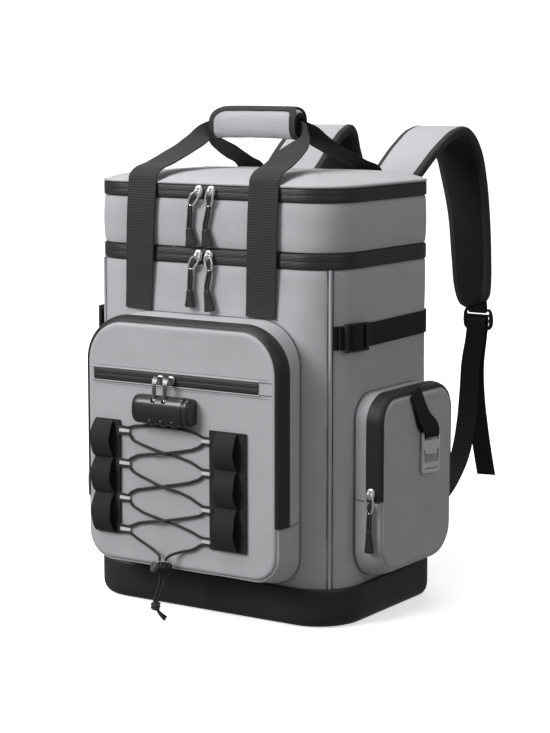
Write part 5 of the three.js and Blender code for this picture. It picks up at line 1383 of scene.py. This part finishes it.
def u_turn(side, z, from_top):
    h = 3.3
    cx = MOUTH[side] + side * (5.4 - 0.5 - h - CORD_R)
    rows = [(TIP[side], LOW, z + h)]
    for i in range(7):
        a = math.pi / 2 - math.pi * i / 6
        rows.append((cx + side * h * math.cos(a), LOW, z + h * math.sin(a)))
    rows.append((TIP[side], LOW, z - h))
    return rows if from_top else rows[::-1]


def crossing(a, b, over):
    n = 10 if over else 2
    mid = (a[0] + b[0]) / 2
    out = []
    for i in range(1, n):
        t = 0.24 + 0.52 * (i - 1) / (n - 2) if over else i / n
        x = a[0] + (b[0] - a[0]) * t
        lift = 3.5 * math.exp(-(((x - mid) / 9.5) ** 2)) if over else 0
        out.append((x, LOW - lift, a[2] + (b[2] - a[2]) * t))
    return out


STOP = np.array([-11.5, -164.4, 58.2])
L_IN = np.array([-16.2, STOP[1] - 1.6, STOP[2] + 7.2])
R_IN = np.array([-10.6, STOP[1] + 0.6, STOP[2] + 7.2])
# Strands between the ports, down to the right (A) and down to the left (B).
A = [[(-57.7, 186.8), (-47.9, 183.8), (-33.3, 180.2), (-18.8, 177.5), (2.0, 174.6), (14.7, 171.6), (22.5, 168.2)],
     [(-59.1, 153.8), (-50.0, 150.0), (-33.7, 145.6), (-19.2, 142.3), (-1.5, 138.6), (14.4, 133.8), (23.8, 129.2)],
     [(-58.6, 116.3), (-47.1, 111.5), (-34.1, 108.6), (-19.5, 106.0), (-1.8, 102.6), (14.1, 98.5), (25.8, 94.3)]]
B = [[(25.8, 188.0), (17.9, 184.6), (2.0, 181.0), (-18.8, 177.5), (-36.6, 174.6), (-53.0, 171.4), (-60.2, 168.0)],
     [(25.6, 154.2), (14.5, 149.9), (-1.5, 146.0), (-19.2, 142.3), (-37.0, 138.6), (-55.1, 134.4), (-61.7, 131.0)],
     [(26.9, 116.6), (14.2, 113.0), (-1.8, 109.4), (-19.5, 106.0), (-37.4, 102.5), (-52.2, 99.3), (-58.8, 96.4)]]


def strand(rows, over):
    """Rows with their depth: one of the two lies over the other at their crossing."""
    out = []
    for (xa, za), (xb, zb) in zip(rows, rows[1:] + [rows[-1]]):
        for t in (0.0, 0.5):
            x, z = xa + (xb - xa) * t, za + (zb - za) * t
            if t and xa == xb:
                continue
            out.append((x, LOW - (3.1 * math.exp(-(((x + 19) / 15) ** 4)) if over else 0), z))
    return out


route = [tuple(L_IN + (0, 0, 0.4)), tuple(L_IN + (-1.2, 1.6, 3.4)), (-27.5, -158.5, 72.6), (-41, -154.6, 77.0), (-55.7, LOW, 83.0)]
for n_up, (side, k) in enumerate(((-1, 3), (1, 2), (-1, 1), (1, 0))):
    route += u_turn(side, PORTS["left" if side < 0 else "right"][k], False)
    if n_up < 3:
        route += strand([B[2], A[1], B[0]][n_up][::-1], True)
route += [(x, LOW, z) for x, z in ((26.8, 200.4), (18.0, 203.0), (2.2, 204.6), (-16.9, 204.8), (-42.8, 204.0), (-57.2, 202.2))]
for n_dn, (side, k) in enumerate(((-1, 0), (1, 1), (-1, 2), (1, 3))):
    route += u_turn(side, PORTS["left" if side < 0 else "right"][k], True)
    if n_dn < 3:
        route += strand([A[0], B[1], A[2]][n_dn], False)
route += [(17.2, LOW, 79.4), (1.2, -155.4, 74.6), (-7.4, -160, 71.0), tuple(R_IN + (1.0, 0.8, 3.0)), tuple(R_IN + (0, 0, 0.4))]
ob = make("laced_elastic", [tube_data(route, CORD_R, 12, step=1.6)], ["cord"])
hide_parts("bungee_cord")
parts = []
for side, word in ((-1, "left"), (1, "right")):  # pale tabs between the strands
    for z in PORTS[word]:
        x_in, x_out = MOUTH[side] + side * 1.0, TIP[side] - side * 1.5
        parts.append(ribbon_data([(x_in, face(1.6), z, 3.6, 0, 0, 1), ((x_in + x_out) / 2, face(2.1), z, 3.6, 0, 0, 1), (x_out, face(1.8), z, 3.2, 0, 0, 1)], 1.4, step=1.5, n=4))
ob = make("lacing_tabs", parts, ["tab"])

# Cord lock: barrel and sprung button on one slanting axis.
AXIS = unit((-0.48, -0.85, 0.21))


def turned(profile, sides=40):
    """Round piece along the lock's axis from rows of distance and radius."""
    a = AXIS
    u = unit(np.cross(a, (0, 0, 1)))
    v = np.cross(u, a)
    return loft_data([[STOP + a * s + r * (math.cos(x) * u + math.sin(x) * v) for x in np.linspace(0, 2 * math.pi, sides, endpoint=False)] for s, r in profile])


barrel = [(-7.0, 4.6), (-6.8, 5.4), (-6.2, 5.9), (-5.4, 6.15), (-3.0, 6.2), (-2.6, 5.8), (-2.2, 6.2), (3.0, 6.2), (3.4, 5.8), (3.8, 6.2), (5.6, 6.15), (6.4, 5.9), (7.0, 5.3), (7.0, 4.4), (-1.2, 4.3)]
ob = make("cord_lock_body", [turned(barrel)], ["buckle"], sharp=40)
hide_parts("cord_lock_barrel")
btn = [(2.8, 3.4), (10.6, 3.4), (10.65, 4.6), (10.8, 5.3), (11.2, 5.75), (12.8, 5.8), (13.5, 5.5), (13.95, 4.8), (14.0, 3.4), (13.7, 2.4), (13.6, 0.4)]
ob = make("cord_lock_plunger_cap", [turned(btn)], ["button"], body="cord_lock_plunger", sharp=40)
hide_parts("cord_lock_button")

# Free ends below the lock, tied in one knot.
TAILS = {"left": [(-15.2, -166.0, 53.5), (-15.2, -166.0, 50.2), (-15.6, -166.2, 45), (-17.6, -166.6, 36), (-20.6, -166.8, 28), (-22.6, -166.8, 22.6), (-22.4, -166.7, 19.5)],
         "right": [(-10.6, -164.6, 53.5), (-10.6, -164.6, 50.2), (-11.0, -164.8, 45), (-13.6, -165.2, 36), (-17.0, -165.8, 28), (-19.3, -166.2, 22.6), (-20.4, -166.4, 19.5)]}
c = np.array([-21.4, -166.6, 16.8])


def knot_loop(n=60):
    pts = []
    for i in range(n + 1):
        a = 2 * math.pi * i / n
        pts.append(c + np.array([(math.sin(a) + 2 * math.sin(2 * a)) * 1.45, -math.sin(3 * a) * 1.8, (math.cos(a) - 2 * math.cos(2 * a)) * 1.25]))
    return pts


ends = [[(-20.6, -166.8, 17.5), (-19.6, -166.8, 14.5), (-17.8, -166.4, 10.6), (-14.4, -165.4, 6), (-11.6, -163.6, 2.3)],
        [(-22, -165.6, 17.5), (-21.8, -164.4, 14.2), (-21.2, -162.6, 10.6), (-19.2, -158.4, 6), (-16.8, -154.4, 2.3)]]
wraps = [c + np.array([4.1 * math.cos(a), 3.1 * math.sin(a), 3.0 - 6.2 * a / (4 * math.pi)]) for a in np.linspace(0, 4 * math.pi, 44)]
knot = make("tied_knot", [tube_data(knot_loop(), 1.5, 12, step=0.8), tube_data(wraps, 1.45, 12, step=0.8)] + [tube_data(e, 1.5, 12, step=1.0) for e in ends], ["cord"])
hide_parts("cord_knot")
for word, rows in TAILS.items():
    pts = curve_through(rows, 1.2)
    cu = bpy.data.curves.new(f"loose_tail_{word}", "CURVE")
    cu.dimensions = "3D"
    sp = cu.splines.new("POLY")
    sp.points.add(len(pts) - 1)
    for k, p in enumerate(pts):
        sp.points[k].co = (*(p[:3] * MM), 1)
    cu.bevel_depth = CORD_R * MM
    cu.bevel_resolution = 3
    cu.use_fill_caps = True
    cu.materials.append(MAT["cord"])
    ob = bpy.data.objects.new(f"loose_tail_{word}", cu)
    bpy.context.scene.collection.objects.link(ob)
    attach(ob, "pack")
    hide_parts(f"cord_tail_{word}")
    long = float(np.linalg.norm(np.diff(pts[:, :3], axis=0), axis=1).sum()) * MM
    tuple(np.array(rows[0]) * MM)

# ----------------------------------------------------------- bottle opener
OP = {"y": 23.5, "z": 174.0, "x": 199.2, "turn": math.radians(14)}
t = np.array([math.sin(OP["turn"]), math.cos(OP["turn"]), 0.0])
n = np.array([math.cos(OP["turn"]), -math.sin(OP["turn"]), 0.0])
c = np.array([OP["x"], OP["y"], OP["z"]])
pt = lambda o, k, z: c + n * o + t * k + np.array([0, 0, z])


def slab(points, thick, bevel=0.3):
    """Flat plate with eased edges from an outline across and up the plate."""
    p = np.array(points, float)
    m = p.mean(0)
    rings = []
    for o, k in ((-thick / 2, bevel), (-thick / 2 + bevel, 0), (thick / 2 - bevel, 0), (thick / 2, bevel)):
        q = p + unit(m - p) * k
        rings.append([pt(o, a, b) for a, b in q])
    return rings


def round_rect(w, h, r, n=6):
    out = []
    for cx, cz, a0 in ((w - r, -h + r, -90), (w - r, h - r, 0), (-w + r, h - r, 90), (-w + r, -h + r, 180)):
        for i in range(n + 1):
            a = math.radians(a0 + 90 * i / n)
            out.append((cx + r * math.cos(a), cz + r * math.sin(a)))
    return out


plate = loft("opener_plate", slab(round_rect(13.5, 22.5, 3.2), 2.2), ["steel"], sharp=30)
cut_slot = cutter(loft_data([[pt(o, a, b + 15.5) for a, b in round_rect(10.8, 2.9, 1.2)] for o in (-4, 4)]))
mouth = [(-11.0, -9.5), (-9.6, -11.2), (9.6, -11.2), (11.0, -9.5), (11.0, 2.4), (10.2, 3.2), (9.3, 2.6), (8.8, 0.2), (8.0, -1.6), (6.6, -2.4), (-6.6, -2.4), (-8.0, -1.6), (-8.8, 0.2), (-9.3, 2.6), (-10.2, 3.2), (-11.0, 2.4)][::-1]
me_cut = cutter(merge_mouth := loft_data([[pt(o, a, b) for a, b in mouth] for o in (-4, 4)], caps="ngon"))
slit = cutter(loft_data([[pt(o, a, b - 17.6) for a, b in round_rect(10.0, 0.9, 0.7)] for o in (-4, 4)]))
for ob_cut in (cut_slot, me_cut, slit):
    bm = bmesh.new()
    bm.from_mesh(ob_cut.data)
    centre_fans = [v for v in bm.verts if len(v.link_edges) > 12]
    bmesh.ops.delete(bm, geom=centre_fans, context="VERTS")
    bmesh.ops.holes_fill(bm, edges=bm.edges)
    bmesh.ops.recalc_face_normals(bm, faces=bm.faces)
    bm.to_mesh(ob_cut.data)
    bm.free()
carve(plate, [cut_slot, me_cut, slit])
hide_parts("bottle_opener")
bar = 20.4
by = lambda o, k, z: tuple(c[:2] + n[:2] * o + t[:2] * k) + (OP["z"] + z,)
a = OP["turn"]
rows = [((SIDE_FACE_X + 0.7, -2.6, 239.6), 0, 22), ((SIDE_FACE_X + 1.4, 0.8, 233), 0.05, 20.5), ((SIDE_FACE_X + 1.9, 7.0, 220), 0.3, 20), ((SIDE_FACE_X + 2.4, 14.0, 206), 0.7, 20.5),
        (by(-2.4, -1.2, bar + 4), 0.95, 21), (by(-2.35, 0, bar - 1), 1, 20.4), (by(-2.1, 0, bar - 3.2), 1, 20.4), (by(-1.2, 0, bar - 4.7), 1, 20.4), (by(0, 0, bar - 5.1), 1, 20.4),
        (by(1.2, 0, bar - 4.7), 1, 20.4), (by(2.1, 0, bar - 3.2), 1, 20.4), (by(2.35, 0, bar - 1), 1, 20.8), (by(2.5, -1.4, bar + 4), 0.9, 21.5), ((SIDE_FACE_X + 5.6, 12.5, 210), 0.5, 21),
        ((SIDE_FACE_X + 3.9, 5.4, 223), 0.2, 20.5), ((SIDE_FACE_X + 2.9, 0.2, 234), 0.05, 20.5), ((SIDE_FACE_X + 1.9, -2.6, 240.4), 0, 20.5)]
ob = make("opener_webbing", [ribbon_data([(*p, w, math.sin(a * k), math.cos(a * k), 0) for p, k, w in rows], 1.3, step=1.2, n=8)], ["web_dark"], sharp=50)
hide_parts("opener_strap")

# ---------------------------------------------------------- joined details
for (key, body), parts in STITCH.items():
    ob = make(f"stitching_{key}_{body}", parts, [key], body=body)
# The seam lines of painted shadow, joined per body.
for (key, body), parts in SEAM_SHADOWS.items():
    ob = make(f"seam_shadow_lines_{body}", parts, [key], body=body)


# ------------------------------------------------------------------- floor
def floor():
    me = bpy.data.meshes.new("floor")
    pts = []
    prof = [(-9.0, 0.0), (3.2, 0.0), (4.4, 0.12), (5.4, 0.5), (6.2, 1.2), (6.6, 2.2), (6.8, 4.0), (6.8, 9.0)]
    for x in (-12.0, 12.0):
        pts += [(x, y, z) for y, z in prof]
    k = len(prof)
    me.from_pydata(pts, [], [(i, i + 1, k + i + 1, k + i) for i in range(k - 1)])
    me.shade_smooth()
    ob = bpy.data.objects.new("floor", me)
    bpy.context.scene.collection.objects.link(ob)
    ob.rotation_euler = (0, 0, math.radians(33.252))
    s = Shader("floor_paper", (0.93, 0.93, 0.93), 0.75, spec=0.2)
    s.colour(s.ramp(s.noise(1.2, 2), 0.3, 0.7, (0.925, 0.925, 0.925), (0.94, 0.94, 0.94)))
    s.b.inputs["Emission Color"].default_value = (1, 1, 1, 1)
    c = s.nt.nodes.new("ShaderNodeTexCoord")
    x = s.nt.nodes.new("ShaderNodeSeparateXYZ")
    r = s.nt.nodes.new("ShaderNodeMapRange")
    r.inputs["From Min"].default_value, r.inputs["From Max"].default_value = 0.6, 2.0
    r.inputs["To Min"].default_value, r.inputs["To Max"].default_value = 0.6, 1.0
    s.nt.links.new(c.outputs["Object"], x.inputs[0])
    s.nt.links.new(x.outputs[1], r.inputs[0])
    s.nt.links.new(r.outputs[0], s.b.inputs["Emission Strength"])
    me.materials.append(s.done())
    ob.location = (0, 0, -0.0002)
    # The sheet is seen but throws no light back, as under a cut-out studio shot.
    ob.visible_diffuse = False
    ob.visible_glossy = False


floor()
